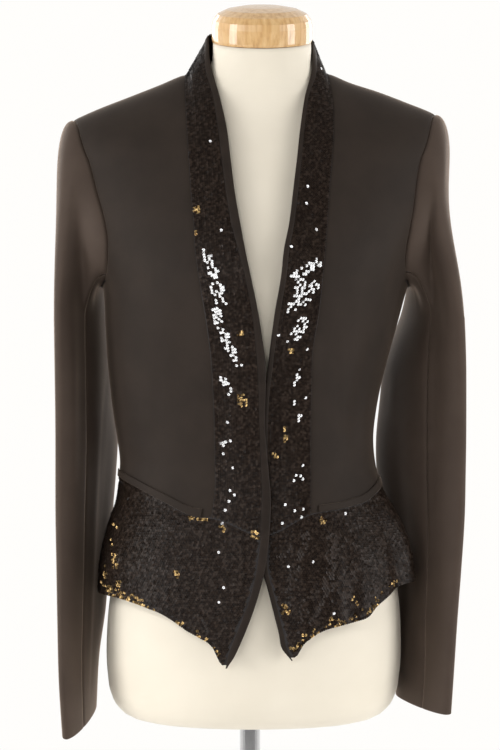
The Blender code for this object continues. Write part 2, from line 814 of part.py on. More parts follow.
def collar_surface(u, v):
    """The standing collar: u from the right shoulder seam round the back to the left, v up it."""
    base_x, base_y, base_z, _ = neckline(u)
    turn = math.pi * u
    top_x = COLLAR_TOP_MID_X - COLLAR_TOP_HALF * np.cos(turn)
    top_y = 5.0 + COLLAR_TOP_DEPTH * np.sin(turn)
    side_z = mix(COLLAR_TOP_RIGHT_Z, COLLAR_TOP_LEFT_Z, u)
    top_z = mix(side_z, COLLAR_TOP_BACK_Z, np.sin(turn))
    out = COLLAR_BULGE * 4 * v * (1 - v) * np.sin(turn)
    x = mix(base_x, top_x, v) - out * np.cos(turn)
    y = mix(base_y, top_y, v) + out * np.sin(turn)
    return np.stack([x, y, mix(base_z, top_z, v)], axis=-1)


def sleeve_table(side):
    return SLEEVE_RIGHT if side < 0 else SLEEVE_LEFT


def sleeve_ring(side, z, turn):
    """A point of a sleeve's plain tube at a height; turn is 0 on the front fold and 90 on the outer face."""
    table = sleeve_table(side)
    outer = read(table, SLEEVE_COLUMNS, "z", "outer", z)
    inner = read(table, SLEEVE_COLUMNS, "z", "inner", z)
    middle_y = read(table, SLEEVE_COLUMNS, "z", "y", z)
    breadth = read(table, SLEEVE_COLUMNS, "z", "breadth", z)
    thick = read(table, SLEEVE_COLUMNS, "z", "thick", z)
    reach = np.abs(outer - inner) / 2
    sine = np.sqrt((reach**2 - thick**2) / (breadth**2 - thick**2))
    cosine = np.sqrt(1 - sine**2)
    dent = np.zeros(np.broadcast(z, turn).shape)
    for centre, width, middle, spread, depth in SLEEVE_FOLDS:
        across = np.exp(-((turns_between(np.radians(turn), centre) / width) ** 2))
        dent = dent + depth * across * np.exp(-(((z - middle) / spread) ** 2))
    along = breadth * np.cos(np.radians(turn))
    up = np.sin(np.radians(turn))
    out = thick * np.sign(up) * np.abs(up) ** SLEEVE_FULLNESS - dent * up
    x = (outer + inner) / 2 + side * (along * sine + out * cosine)
    y = middle_y - along * cosine + out * sine
    return np.stack([x, y, z + 0 * x], axis=-1)


def armhole_point(side, turn):
    """Where the sleeve is sewn in: turn is -90 at the underarm, 0 in front, 90 on top and 180 behind."""
    front_table, back_table = armholes_of(side)
    wrapped = (turn + 90.0) % 360.0
    front_share = np.clip(wrapped / 180.0, 0.0, 1.0)
    back_share = np.clip((360.0 - wrapped) / 180.0, 0.0, 1.0)
    front = torso(*armhole_edge(side, front_table, front_share))
    back_angle, back_level = armhole_edge(side, back_table, back_share)
    back = torso(side * math.pi - back_angle, back_level)
    point = np.where((wrapped < 180.0)[..., None], front, back)
    point[..., 0] += side * ARMHOLE_GAP
    point[..., 2] += ARMHOLE_GAP * (1 - ease(-1.0, -0.3, np.sin(np.radians(turn))))
    return point


def tube_turn(turn):
    """Where on the tube the cloth of a place on the armhole ends up."""
    from_under = np.abs((turn + 270) % 360 - 180)
    return turn - SLEEVE_TWIST * (1 - np.cos(np.minimum(from_under / TWIST_REACH, 1) * math.pi)) / 2


def sleeve_surface(side):
    """A whole sleeve: u in degrees round the armhole, v from the cuff to the armhole."""
    table = sleeve_table(side)
    cuff_z = table[-1][0]
    cuff_rise = CUFF_RISE_RIGHT if side < 0 else CUFF_RISE_LEFT
    dent = CAP_DENT_RIGHT if side < 0 else CAP_DENT_LEFT
    cap_start = 1 - CAP_SHARE

    def tube(turn, v):
        down = np.maximum(1 - v / cap_start, -0.05)
        z = mix(CAP_END, cuff_z, down)
        ring = sleeve_ring(side, z, tube_turn(turn))
        tilt = cuff_rise * ease(0.55, 1.0, down)
        ring[..., 2] += tilt * (ring[..., 1] - read(table, SLEEVE_COLUMNS, "z", "y", z))
        return ring

    def cap(turn, v):
        t = np.clip((1 - v) / CAP_SHARE, -0.05, 1.0)[..., None]
        start = armhole_point(side, turn)
        ring_turn = tube_turn(turn)
        end = sleeve_ring(side, np.full(turn.shape, CAP_END), ring_turn)
        under = 1 - ease(-1.0, 0.0, np.sin(np.radians(turn)))
        leave = np.zeros(start.shape)
        leave[..., 0] = side * mix(CAP_OUT, CAP_UNDER_OUT, under)
        leave[..., 2] = CAP_UNDER_UP * under
        below = sleeve_ring(side, np.full(turn.shape, CAP_END - 5.0), ring_turn) - end
        reach = np.linalg.norm(end - start, axis=-1, keepdims=True)
        arrive = below / 5.0 * reach * CAP_DOWN
        point = (
            (2 * t**3 - 3 * t**2 + 1) * start
            + (t**3 - 2 * t**2 + t) * leave
            + (3 * t**2 - 2 * t**3) * end
            + (t**3 - t**2) * arrive
        )
        outside = ((1 + np.cos(np.radians(turn - 75.0))) / 2) ** 2
        at_dent = np.exp(-(((t[..., 0] - 0.57) / 0.24) ** 2)) * ease(0.0, 0.2, t[..., 0])
        point[..., 0] -= side * dent * outside * at_dent
        return point

    def surface(u, v):
        return np.where((v >= cap_start)[..., None], cap(u, np.maximum(v, cap_start)), tube(u, v))

    return surface


def around_torso(points):
    axis = np.zeros(points.shape)
    axis[..., 0] = 6.0
    axis[..., 1] = 4.0
    axis[..., 2] = np.minimum(points[..., 2], 1120.0)
    return axis


def around_sleeve(side):
    def axis(points):
        table = sleeve_table(side)
        z = np.minimum(points[..., 2], 1080.0)
        outer, inner, y = [read(table, SLEEVE_COLUMNS, "z", name, z) for name in ("outer", "inner", "y")]
        return np.stack([(outer + inner) / 2, y, z], axis=-1)

    return axis


def wall(name, surface, us, vs, thick, around, outset=0.0):
    """A closed wall of cloth: the surface at the grid us by vs, moved out, and the same points moved in."""
    u, v = np.meshgrid(us, vs, indexing="ij")
    points = surface(u, v)
    du = DIFFERENCE * abs(us[-1] - us[0])
    dv = DIFFERENCE * abs(vs[-1] - vs[0])
    across = surface(u + du, v) - surface(u - du, v)
    along = surface(u, v + dv) - surface(u, v - dv)
    normals = np.cross(across, along)
    normals /= np.linalg.norm(normals, axis=-1, keepdims=True)
    flip = np.sum(normals * (points - around(points))) < 0
    if flip:
        normals = -normals
    outer = points + normals * outset
    return closed_sheet(name, outer, outer - normals * thick, flip)


def closed_sheet(name, outer, inner, flip):
    rows, cols = outer.shape[:2]
    count = rows * cols
    vertices = np.concatenate([outer.reshape(-1, 3), inner.reshape(-1, 3)]) * MM
    faces = []

    def face(a, b, c, d):
        faces.append((d, c, b, a) if flip else (a, b, c, d))

    for i in range(rows - 1):
        for j in range(cols - 1):
            a = i * cols + j
            face(a, a + cols, a + cols + 1, a + 1)
            face(count + a + 1, count + a + cols + 1, count + a + cols, count + a)
    for i in range(rows - 1):
        low = i * cols
        high = low + cols - 1
        face(low, count + low, count + low + cols, low + cols)
        face(high + cols, count + high + cols, count + high, high)
    for j in range(cols - 1):
        last = (rows - 1) * cols + j
        face(j + 1, count + j + 1, count + j, j)
        face(last, count + last, count + last + 1, last + 1)
    return add_mesh(name, vertices, faces)


def add_mesh(name, vertices, faces):
    mesh = bpy.data.meshes.new(name)
    mesh.from_pydata([tuple(point) for point in vertices], [], faces)
    mesh.validate()
    mesh.update()
    mesh.shade_smooth()
    mesh.set_sharp_from_angle(angle=math.radians(40))
    obj = bpy.data.objects.new(name, mesh)
    bpy.context.scene.collection.objects.link(obj)
    return obj


def shares(count, length, start_gap=SEAM, end_gap=SEAM):
    """Even steps from 0 to 1 along a length in millimetres, drawn in at each end by half a seam's room."""
    return np.linspace(start_gap / 2 / length, 1 - end_gap / 2 / length, count + 1)


def front_columns():
    return shares(10, CREPE_WIDTH)


def make_front(side):
    name = side_name(side)
    rows = panel_rows(FRONT_ARM_SHARES, SHOULDER_GAP)
    wall("front_" + name, front_surface(side), front_columns(), rows, CLOTH, around_torso)
    strip_rows = np.array([WAIST_STRIP_START, LOW_ROWS[1]])
    columns = front_columns()[1:]
    outset = STRIP_LIFT + STRIP
    wall("waist_strip_" + name, front_surface(side), columns, strip_rows, STRIP, around_torso, outset)


def make_back(side):
    neck = neck_share(side)
    near = neck * np.sin(np.linspace(0.0, math.pi / 2, NECK_COLUMNS + 1))
    far = np.linspace(neck, 1.0, 6)[1:]
    us = np.concatenate([near, far])
    us[0] += SEAM / 2 / PANEL_WIDTH
    us[-1] -= SEAM / 2 / PANEL_WIDTH
    rows = panel_rows(BACK_ARM_SHARES, SHOULDER_GAP)
    wall("back_" + side_name(side), back_surface(side), us, rows, CLOTH, around_torso)


def make_band(side):
    name = side_name(side)
    whole = edge_surface(side)

    def surface(u, v):
        return whole(u * band_share(side, v), v)

    rows = panel_rows(FRONT_ARM_SHARES, COLLAR_END_GAP)
    wall("band_" + name, surface, shares(3, BAND_WIDTH, end_gap=BAND_END_GAP), rows, CLOTH, around_torso)
    below = np.concatenate([[STRIP_POINT], skirt_rows() - 1])
    columns = shares(1, STRIP_WIDTH)
    wall("edge_strip_" + name, strip_surface(side), columns, np.concatenate([below, rows]), CLOTH, around_torso)


def skirt_rows():
    return shares(6, SKIRT_HEIGHT, end_gap=SKIRT_TOP_GAP)


def skirt_columns(side):
    """The skirt's columns: those of the crepe above it, halved where it is fluted, then the band's."""
    front, point = tables_of(side)[:2]
    waist_z, strip_x = point[-1][:2]
    wool_z, wool_x = front[0][:2]
    start = angle_of(strip_x, waist_z)
    side_seam = side * math.pi / 2
    crepe = (mix(angle_of(wool_x, wool_z), side_seam, front_columns()) - start) / (side_seam - start)
    under_count = 4
    if side > 0:
        crepe = np.interp(np.arange(0, len(crepe) - 0.5, 0.5), np.arange(len(crepe)), crepe)
        under_count = 6
    under_band = np.linspace(SEAM / 2 / PANEL_WIDTH, crepe[0], under_count)[:-1]
    return np.concatenate([under_band, crepe])


def make_skirt():
    rows = skirt_rows()
    for side in (-1, 1):
        wall("skirt_" + side_name(side), skirt_surface(side), skirt_columns(side), rows, CLOTH, around_torso)
    wall("skirt_back", skirt_back_surface, shares(44, SKIRT_BACK_WIDTH), rows, CLOTH, around_torso)


def make_collar():
    us = shares(2 * NECK_COLUMNS, COLLAR_LENGTH, COLLAR_END_GAP * 2, COLLAR_END_GAP * 2)
    vs = np.linspace(COLLAR_BASE_GAP, 1.0, 5)
    wall("collar", collar_surface, us, vs, CLOTH, around_torso)


def sleeve_turns():
    """Where a sleeve's columns lie round it, so that they meet those of the armhole's panels."""
    front = [180 * share - 90 for share in FRONT_ARM_SHARES]
    back = [270 - 180 * share for share in BACK_ARM_SHARES]
    top = [turn for turn in front if turn >= FRONT_SLEEVE_SEAM - 0.1]
    top += [turn for turn in reversed(back) if BACK_SLEEVE_SEAM + 0.1 >= turn > 90]
    under = [turn for turn in reversed(back) if turn >= BACK_SLEEVE_SEAM - 0.1]
    under += [turn + 360 for turn in front if -90 < turn <= FRONT_SLEEVE_SEAM + 0.1]
    return np.array(top), np.array(under)


def make_sleeve(side):
    name = side_name(side)
    surface = sleeve_surface(side)
    low = np.linspace(0.0, 1 - CAP_SHARE, 10)
    cap = 1 - CAP_SHARE * np.linspace(1.0, 0.0, 8)[1:] ** 1.25
    vs = np.concatenate([low, cap])
    for piece, turns in zip(("top", "under"), sleeve_turns()):
        turns[0] += SLEEVE_SEAM_GAP
        turns[-1] -= SLEEVE_SEAM_GAP
        wall(f"sleeve_{piece}_{name}", surface, turns, vs, CLOTH, around_sleeve(side))


def ring_points(row, count):
    z, mid, half, front, back, pinch, tilt = row
    turn = np.arange(count) * 2 * math.pi / count
    cosine = np.cos(turn)
    depth = np.where(cosine > 0, -front, back) * np.abs(cosine) ** pinch
    x = mid + half * np.sin(turn)
    return np.stack([x, depth, z + tilt * (depth - CAP_CENTRE[1])], axis=-1)


def lofted(name, rings):
    """A closed body through rings of the same count, the first one lowest, with flat ends."""
    count = len(rings[0])
    faces = []
    for i in range(len(rings) - 1):
        for j in range(count):
            a = i * count + j
            b = i * count + (j + 1) % count
            faces.append((a, b, b + count, a + count))
    faces.append(tuple(reversed(range(count))))
    top = (len(rings) - 1) * count
    faces.append(tuple(range(top, top + count)))
    return add_mesh(name, np.concatenate(rings) * MM, faces)


def make_torso_form():
    return lofted("form_torso", [ring_points(row, 40) for row in FORM])


def circle(radius, height, count):
    turn = np.arange(count) * 2 * math.pi / count
    return np.stack([radius * np.cos(turn), radius * np.sin(turn), np.full(count, height)], axis=-1)


def make_cap():
    rings = [circle(radius, height + SEAM, 36) for radius, height in CAP_PROFILE]
    cap = lofted("form_cap", rings)
    cap.rotation_euler = (CAP_TILT, 0, 0)
    cap.location = [value * MM for value in CAP_CENTRE]
    return cap


def make_stand():
    top = FORM[0][0] - SEAM
    foot = BASE_THICK + BOSS_HEIGHT + SEAM
    lofted("form_pole", [circle(POLE_RADIUS, foot, 24), circle(POLE_RADIUS, top, 24)])
    profile = (
        (BASE_RADIUS - 1.0, 0.0),
        (BASE_RADIUS, 1.0),
        (BASE_RADIUS, BASE_THICK - 2.0),
        (BASE_RADIUS - 2.0, BASE_THICK),
        (BOSS_RADIUS + 5.0, BASE_THICK),
        (BOSS_RADIUS, BASE_THICK + 4.0),
        (BOSS_RADIUS - 2.0, BASE_THICK + BOSS_HEIGHT - 2.0),
        (BOSS_RADIUS - 5.0, BASE_THICK + BOSS_HEIGHT),
    )
    lofted("form_base", [circle(radius, height, 48) for radius, height in profile])


def paint():
    kinds = {
        "band": "sequin",
        "skirt": "sequin",
        "collar": "sequin",
        "form_torso": "jersey",
        "form_cap": "maple",
        "form_pole": "chrome",
        "form_base": "chrome",
    }
    materials = {}
    for name, (colour, roughness, metallic) in COLOURS.items():
        material = bpy.data.materials.new(name)
        material.use_nodes = True
        shader = material.node_tree.nodes["Principled BSDF"]
        shader.inputs["Base Color"].default_value = (*colour, 1.0)
        shader.inputs["Roughness"].default_value = roughness
        shader.inputs["Metallic"].default_value = metallic
        material.diffuse_color = (*colour, 1.0)
        materials[name] = material
    for obj in bpy.data.objects:
        kind = next((kinds[start] for start in kinds if obj.name.startswith(start)), "crepe")
        obj.data.materials.append(materials[kind])


def clear_scene():
    for obj in list(bpy.data.objects):
        bpy.data.objects.remove(obj, do_unlink=True)


def main():
    clear_scene()
    for side in (-1, 1):
        make_front(side)
        make_back(side)
        make_band(side)
        make_sleeve(side)
    make_skirt()
    make_collar()
    make_torso_form()
    make_cap()
    make_stand()
    paint()


main()
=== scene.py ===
"""The looks of the evening blazer and its dress form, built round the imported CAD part.

The front faces -Y, up is +Z, and "right" and "left" are the wearer's. The tables and surfaces are in
millimetres and are those of the CAD source, read here on finer grids with small creases added.
"""

import json
import math

import bpy
import numpy as np
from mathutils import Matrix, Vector

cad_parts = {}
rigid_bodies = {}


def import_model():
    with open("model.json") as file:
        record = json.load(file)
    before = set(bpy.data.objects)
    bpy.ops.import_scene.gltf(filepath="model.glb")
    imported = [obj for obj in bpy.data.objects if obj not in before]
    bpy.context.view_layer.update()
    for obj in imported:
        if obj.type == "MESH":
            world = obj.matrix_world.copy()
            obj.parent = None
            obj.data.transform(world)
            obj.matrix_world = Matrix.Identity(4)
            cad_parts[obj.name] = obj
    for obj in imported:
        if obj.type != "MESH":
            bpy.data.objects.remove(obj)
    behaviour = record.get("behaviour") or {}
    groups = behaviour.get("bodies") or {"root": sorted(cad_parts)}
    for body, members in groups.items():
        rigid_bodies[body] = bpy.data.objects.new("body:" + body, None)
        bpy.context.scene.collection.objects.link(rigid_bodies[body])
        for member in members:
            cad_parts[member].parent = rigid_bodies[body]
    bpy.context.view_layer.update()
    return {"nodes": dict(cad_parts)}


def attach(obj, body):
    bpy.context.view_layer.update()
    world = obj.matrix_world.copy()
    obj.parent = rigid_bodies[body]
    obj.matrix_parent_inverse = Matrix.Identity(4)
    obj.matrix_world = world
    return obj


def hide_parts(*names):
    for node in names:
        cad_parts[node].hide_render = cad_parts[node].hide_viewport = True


for left_over in list(bpy.data.objects):
    bpy.data.objects.remove(left_over, do_unlink=True)
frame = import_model()

MM = 0.001
SEED = 7


def table(columns, *rows):
    """Arrays of numbers by the names of their columns, in the order of the first column."""
    return {name: np.array(values, float) for name, values in zip(columns.split(), zip(*sorted(rows)))}


# Cloth
CLOTH = 1.6  # thickness of the crepe and of the edge strips
STRIP = 1.2  # thickness of a strip laid on a panel
SEAM_REACH = 2.4  # how far from a seam its dent reaches
SEAM = 0.3  # room left between two pieces that are sewn together
LAP = 2.3  # how far each front moves out or in where the right one closes over the left

# The blazer's upper body
SHOULDER_SEAM_Y = 6.0
CHEST_TOP = 1120.0  # above this height the chest and back round over to the shoulder seam
LEVEL_DROP = 110.0  # below the chest top, one level is this many millimetres
FRONT_FULLNESS = 0.85  # below 1 makes the front of a section squarer than an ellipse
NECK_MID_X = 8.0
NECK_RIGHT_X = -67.0  # where the shoulder seams meet the collar
NECK_LEFT_X = 80.0
NECK_DEPTH = 51.0  # from the shoulder seam back to the centre back of the neckline

# Collar
COLLAR_TOP_MID_X = 12.0
COLLAR_TOP_HALF = 54.5
COLLAR_TOP_DEPTH = 56.0
COLLAR_TOP_RIGHT_Z = 1255.0
COLLAR_TOP_LEFT_Z = 1247.0
COLLAR_TOP_BACK_Z = 1266.0
COLLAR_BULGE = 1.5

# Dress form
CAP_CENTRE = (12.5, 5.0, 1246.6)

# Each table has a row for a height or a fold, and its first line names its columns.
TORSO = table(
    "z mid right left front back",
    (600, 3, -161, 166, 121, 144), (640, 3, -160, 165, 118, 139), (680, 3, -158.5, 164, 113.5, 128),
    (718, 2, -155, 159, 108.5, 115), (749, 0, -147, 150, 104, 105), (770, -1, -139.5, 142, 101, 98),
    (790, -2, -136.5, 134.5, 98.5, 93), (810, -3, -135, 130, 97, 90), (835, -3, -138, 128, 97.5, 90),
    (860, -2, -142, 130.5, 100, 92), (885, 0, -145, 135, 104, 95), (914, 1, -148, 142, 110, 99),
    (950, 3, -150, 152, 119, 103), (990, 6, -152.5, 163, 127, 106), (1005, 7, -156, 168, 127.5, 107),
    (1020, 8, -160, 173, 124.5, 108), (1050, 8, -168, 183, 115, 108), (1084, 8, -176, 191, 101, 106),
    (1115, 8, -182, 198, 87, 103), (1147, 8, -190, 205, 72, 98), (1180, 8, -196, 211, 58, 92),
    (1215, 8, -200, 216, 46, 88),
)

SHOULDER = table(
    "x z",
    (-215, 1147.6), (-185, 1164.8), (-160, 1176.1), (-127, 1189), (-94, 1202), (-67, 1213), (-40, 1216.5),
    (50, 1216.5), (80, 1214.3), (103, 1204.8), (133, 1195), (162, 1184), (194, 1170.8), (225, 1151.8),
)

# A front's edges: the crepe ends at wool, the sequinned band at strip, and the front itself at edge.
FRONT = {
    -1: table(
        "z_wool wool z_edge strip edge y_edge",
        (757, -38, 737, 10, 19.5, -104), (785, -34.5, 775, 11.6, 21.2, -100),
        (810, -34.6, 808, 10.2, 18.5, -97), (850, -35.2, 850, 8.6, 15, -99),
        (903, -37.4, 903, 6.6, 16.4, -108), (927, -39.4, 927, 5, 13.9, -113),
        (961, -44, 961, 1.6, 8.5, -121), (996, -50, 996, -5, 1.3, -127),
        (1024, -54, 1024, -12, -4.5, -123), (1051, -55.5, 1051, -19, -9.4, -114),
        (1084, -58.8, 1084, -24.5, -15, -100), (1115, -61, 1117, -29, -19, -83),
        (1147, -63.5, 1152, -33, -23.4, -64), (1178, -65.4, 1187, -38.5, -31.5, -46),
        (1197, -66.4, 1222, -46.5, -41, -20), (1213, -67, 1255, -47.5, -43.8, 5),
    ),
    1: table(
        "z_wool wool z_edge strip edge y_edge",
        (760, 60, 737, 17.5, 12, -104), (786, 60.5, 780, 17.5, 12, -100), (834, 60.4, 834, 17.5, 12, -97),
        (875, 60.9, 875, 19, 14, -102), (902, 61.3, 902, 22, 16.9, -108),
        (927, 62.5, 927, 25, 19.8, -113), (961, 67.9, 961, 30, 24.3, -121),
        (996, 71.5, 996, 36, 30.3, -127), (1024, 74.3, 1024, 39, 33.3, -122),
        (1051, 76.4, 1051, 44, 38.7, -113), (1084, 79, 1084, 48.3, 42.8, -98),
        (1115, 82, 1117, 52, 46.8, -81), (1147, 84.3, 1152, 55.5, 50.8, -63),
        (1178, 84.6, 1185, 60, 56, -45), (1197, 82.6, 1215, 68.5, 63.5, -22),
        (1214.3, 80, 1247, 69.5, 65.2, 5),
    ),
}

# The edges of a front below the waist, down to its point.
POINT = {
    -1: table(
        "z strip edge",
        (610, -26, -21), (626, -21, -13), (651, -11, -2), (676, -1.5, 7), (700, 5, 13.6), (711, 7, 15.9),
        (737, 10, 19.5),
    ),
    1: table(
        "z strip edge",
        (617, 43.5, 39.6), (629.5, 36.5, 31.2), (642, 34, 28.7), (664, 28.5, 23.3), (686, 23, 17.6),
        (700, 19, 13.6), (737, 17.5, 12),
    ),
}

# Waist seam and hem, each as a height at a distance from the middle.
WAIST = {
    -1: table(
        "x z",
        (-137, 796), (-113, 785), (-85, 771.5), (-58, 759), (-38, 757), (10, 739), (24, 736),
    ),
    1: table(
        "x z",
        (8, 737), (20, 740), (60, 760), (100, 767), (124, 776), (136, 790), (150, 794),
    ),
}
HEM = {
    -1: table(
        "x z",
        (-162, 677), (-134, 675), (-115, 670.7), (-101, 666.5), (-88, 662), (-77, 656), (-63, 646.5),
        (-49, 639), (-38, 632), (-31, 622.5), (-26, 613), (-20, 608),
    ),
    1: table(
        "x z",
        (39, 616), (45, 623.5), (51.5, 632.5), (60, 639.5), (71, 645.5), (86, 650), (103, 653.6),
        (117, 659), (125, 667), (134, 675), (142, 682), (150, 687), (176, 690),
    ),
}
WAIST_BACK_Z = 800.0
HEM_BACK_Z = 676.0

# Flutes of the skirt: where each crest is round the body, its width, how far it stands out, and the
# heights where it starts and is whole.
# Columns: angle, width, height, start, whole
FLUTES = (
    (-66, 11, 1.2, 788, 668), (-36, 12, 1.4, 788, 668), (-14, 8, 0.8, 780, 668), (20, 4.6, 2.6, 760, 680),
    (31, 5.0, 3.6, 765, 680), (43, 5.6, 4.0, 770, 680), (56, 6.5, 4.2, 775, 690),
    (75, 9.0, 12.0, 812, 730), (112, 13, -6.0, 800, 712), (138, 9, 5.0, 790, 676),
    (160, 9, 5.0, 790, 676), (182, 9, 4.5, 790, 676), (204, 9, 5.0, 790, 676), (226, 9, 4.0, 790, 676),
    (250, 12, -4.5, 800, 715),
)

# Soft folds of the upper body: round the body, up it, their spread both ways and their depth.
# Columns: angle, angle spread, z, z spread, depth.
FOLDS = (
    (57, 7, 880, 70, 3.0), (64, 7, 1000, 45, 2.5), (-70, 8, 900, 60, 1.6), (150, 12, 900, 60, 2.0),
    (-150, 12, 890, 60, 2.0),
)

# Where the armhole seam runs, from the underarm to the shoulder.
ARMHOLE_FRONT = {
    -1: table(
        "share x z",
        (0.0, -152.5, 990), (0.08, -150.6, 993), (0.18, -147, 1003), (0.3, -144.6, 1020),
        (0.42, -144.8, 1040), (0.54, -149, 1062), (0.66, -156, 1086), (0.78, -163, 1112),
        (0.9, -174, 1142), (1.0, -185, 1164.8),
    ),
    1: table(
        "share x z",
        (0.0, 163, 990), (0.08, 161.6, 994), (0.18, 160, 1006), (0.3, 160.2, 1026), (0.42, 163, 1047),
        (0.54, 166.5, 1068), (0.66, 169.5, 1092), (0.78, 174, 1118), (0.9, 184, 1147), (1.0, 194, 1170.8),
    ),
}
ARMHOLE_BACK = {
    -1: table(
        "share x z",
        (0.0, -152.5, 990), (0.08, -151, 993), (0.18, -149, 1003), (0.3, -147.5, 1022),
        (0.42, -148.5, 1044), (0.54, -152, 1067), (0.66, -158, 1092), (0.78, -165, 1116),
        (0.9, -175, 1143), (1.0, -185, 1164.8),
    ),
    1: table(
        "share x z",
        (0.0, 163, 990), (0.08, 162, 994), (0.18, 160.5, 1006), (0.3, 161, 1026), (0.42, 163.5, 1048),
        (0.54, 167, 1070), (0.66, 171, 1095), (0.78, 177, 1121), (0.9, 186, 1148), (1.0, 194, 1170.8),
    ),
}

# A sleeve below the underarm: how far out its two folds are, its middle, and its half breadth and thickness.
SLEEVE = {
    -1: table(
        "z outer inner y breadth thick",
        (960, -199, -150, 3, 70, 15), (914, -198.6, -147, 5, 68, 15), (868, -198, -144, 6, 67, 14.5),
        (832, -197.8, -141.5, 6, 66, 14), (800, -197.8, -143, 5, 65, 13.5),
        (760, -197.6, -146, 2, 63, 13), (700, -196.3, -150, -3, 61, 12), (650, -195, -153, -9, 59, 11),
        (600, -193.6, -159, -14, 57, 10.5), (543, -190, -161.5, -18, 55, 10),
    ),
    1: table(
        "z outer inner y breadth thick",
        (960, 217.6, 160, 3, 70, 15), (914, 219.8, 144, 5, 68, 15), (868, 220.4, 138, 6, 67, 14.5),
        (832, 220.5, 134.5, 6, 66, 14), (800, 220, 135, 5, 65, 13.5), (760, 218.7, 142, 2, 64, 13.5),
        (700, 214.2, 152, -2, 63, 13.5), (650, 210, 154, -7, 60, 13), (600, 206.5, 155, -11, 57, 12.5),
        (560, 203.6, 154, -14, 55, 12),
    ),
}
CAP_END = 960.0  # height at which a sleeve's cap becomes its plain tube
CAP_OUT = 75.0  # how strongly the sleeve leaves the armhole sideways
CAP_UNDER_OUT = 24.0
CAP_UNDER_UP = 16.0
CAP_DOWN = 0.9
CAP_DENT_RIGHT = 3.0  # how far the sleeve falls in again below its head
CAP_DENT_LEFT = 11.0
CAP_SHARE = 0.34  # share of a sleeve's rows that make its cap
CUFF_RISE_RIGHT = 0.2  # how much the cuff climbs towards the back
CUFF_RISE_LEFT = 0.08
SLEEVE_TWIST = 70.2  # degrees from a place on the armhole back to the place on the tube that it leads to
TWIST_REACH = 120.0  # degrees from the underarm at which that twist is whole
FRONT_SLEEVE_SEAM = -61.2  # degrees round the armhole, from its front
BACK_SLEEVE_SEAM = 189.0
# Soft folds of both sleeves. Columns: angle, angle spread, z, z spread, depth.
SLEEVE_FOLDS = (
    (302, 16, 900, 120, 3.2), (250, 14, 740, 110, 2.6), (60, 18, 860, 110, 2.0), (120, 16, 700, 120, 2.0),
)

# The form's rings
FORM_SIDES = 120
FORM = table(
    "z mid half front back pinch tilt",
    (541, 3, 96, 60, 84, 1, 0), (542.5, 3, 112, 74, 100, 1, 0), (547, 3, 127, 87, 114, 1, 0),
    (556, 3.2, 139.5, 97, 125, 1, 0), (570, 3.4, 147.5, 104, 132, 1, 0),
    (592, 3.6, 151.5, 107.5, 134, 1, 0), (636, 4, 152.5, 107.5, 129, 1, 0),
    (676, 4.5, 149, 104, 117, 1, 0), (720, 4.5, 139, 99, 103, 1, 0), (760, 3.5, 125, 92, 88, 1, 0),
    (800, 2.5, 115, 86, 79, 1, 0), (822, 2.5, 112.5, 84, 77, 1, 0), (850, 3, 115, 87, 79, 1, 0),
    (900, 4, 125, 97, 86, 1, 0), (950, 6, 134, 109, 92, 1, 0), (990, 8, 139, 116, 95, 1, 0),
    (1035, 9, 141, 108, 97, 1, 0), (1075, 9.5, 144, 93, 96, 1, 0), (1108, 10, 148, 78, 92, 1.05, 0),
    (1134, 10, 149, 64, 83, 1.2, 0), (1154, 10, 145, 54, 74, 1.4, 0), (1170, 10, 136, 48, 67, 1.7, 0),
    (1182, 10, 124, 45.5, 58, 1.95, 0), (1191, 10, 109, 44.5, 54, 2.1, 0),
    (1198, 10.5, 91, 44.5, 51, 1.9, 0.02), (1204, 11, 73, 44.5, 50.5, 1.5, 0.05),
    (1213, 11.6, 60, 45, 51, 1.15, 0.1), (1224, 12.2, 53, 46, 52, 1, 0.18),
    (1236, 12.5, 51.2, 46.5, 53.5, 1, 0.25), (1246.6, 12.5, 51, 46.5, 55, 1, 0.275),
)

ARM_START = 0.5  # below this share of a panel lies the side seam, above it the armhole
UNDERARM_Z = 990.0
WAIST_BLEND = 0.3  # share of a panel over which its rows ease from the waist seam's slope to level

# Rough lengths, which turn the room left at a seam into a share of a piece
PANEL_HEIGHT = 430.0
PANEL_WIDTH = 150.0
CREPE_WIDTH = 110.0
BAND_WIDTH = 45.0
STRIP_WIDTH = 6.0
SKIRT_HEIGHT = 110.0
SKIRT_BACK_WIDTH = 450.0
COLLAR_LENGTH = 200.0

# Where the fronts lie over each other
LAP_RIGHT_X = (-34.0, -6.0)
LAP_LEFT_X = (52.0, 26.0)
LAP_Z = (985.0, 915.0)

# Details of the walls
BAND_BULGE = 1.5
NECK_EDGE_Z = 1185.0  # above this height the band leaves the chest and stands up the neck
BAND_LEAVES_Z = (1060.0, 1150.0)  # and it starts to leave it over this stretch
NECK_SEAM_Z = 1205.0  # about the height of the seam between the collar and the back
SKIRT_POINT_RISE = 3.0
STRIP_POINT = -1.025  # the strip's lowest row, a little below the skirt's
ARMHOLE_GAP = 0.5
SLEEVE_FULLNESS = 0.85
SLEEVE_SEAM_GAP = 0.5  # degrees
COLLAR_END_GAP = 0.5
WAIST_STRIP_START = 0.001
STRIP_LIFT = 0.55  # room under a strip that is laid on a panel


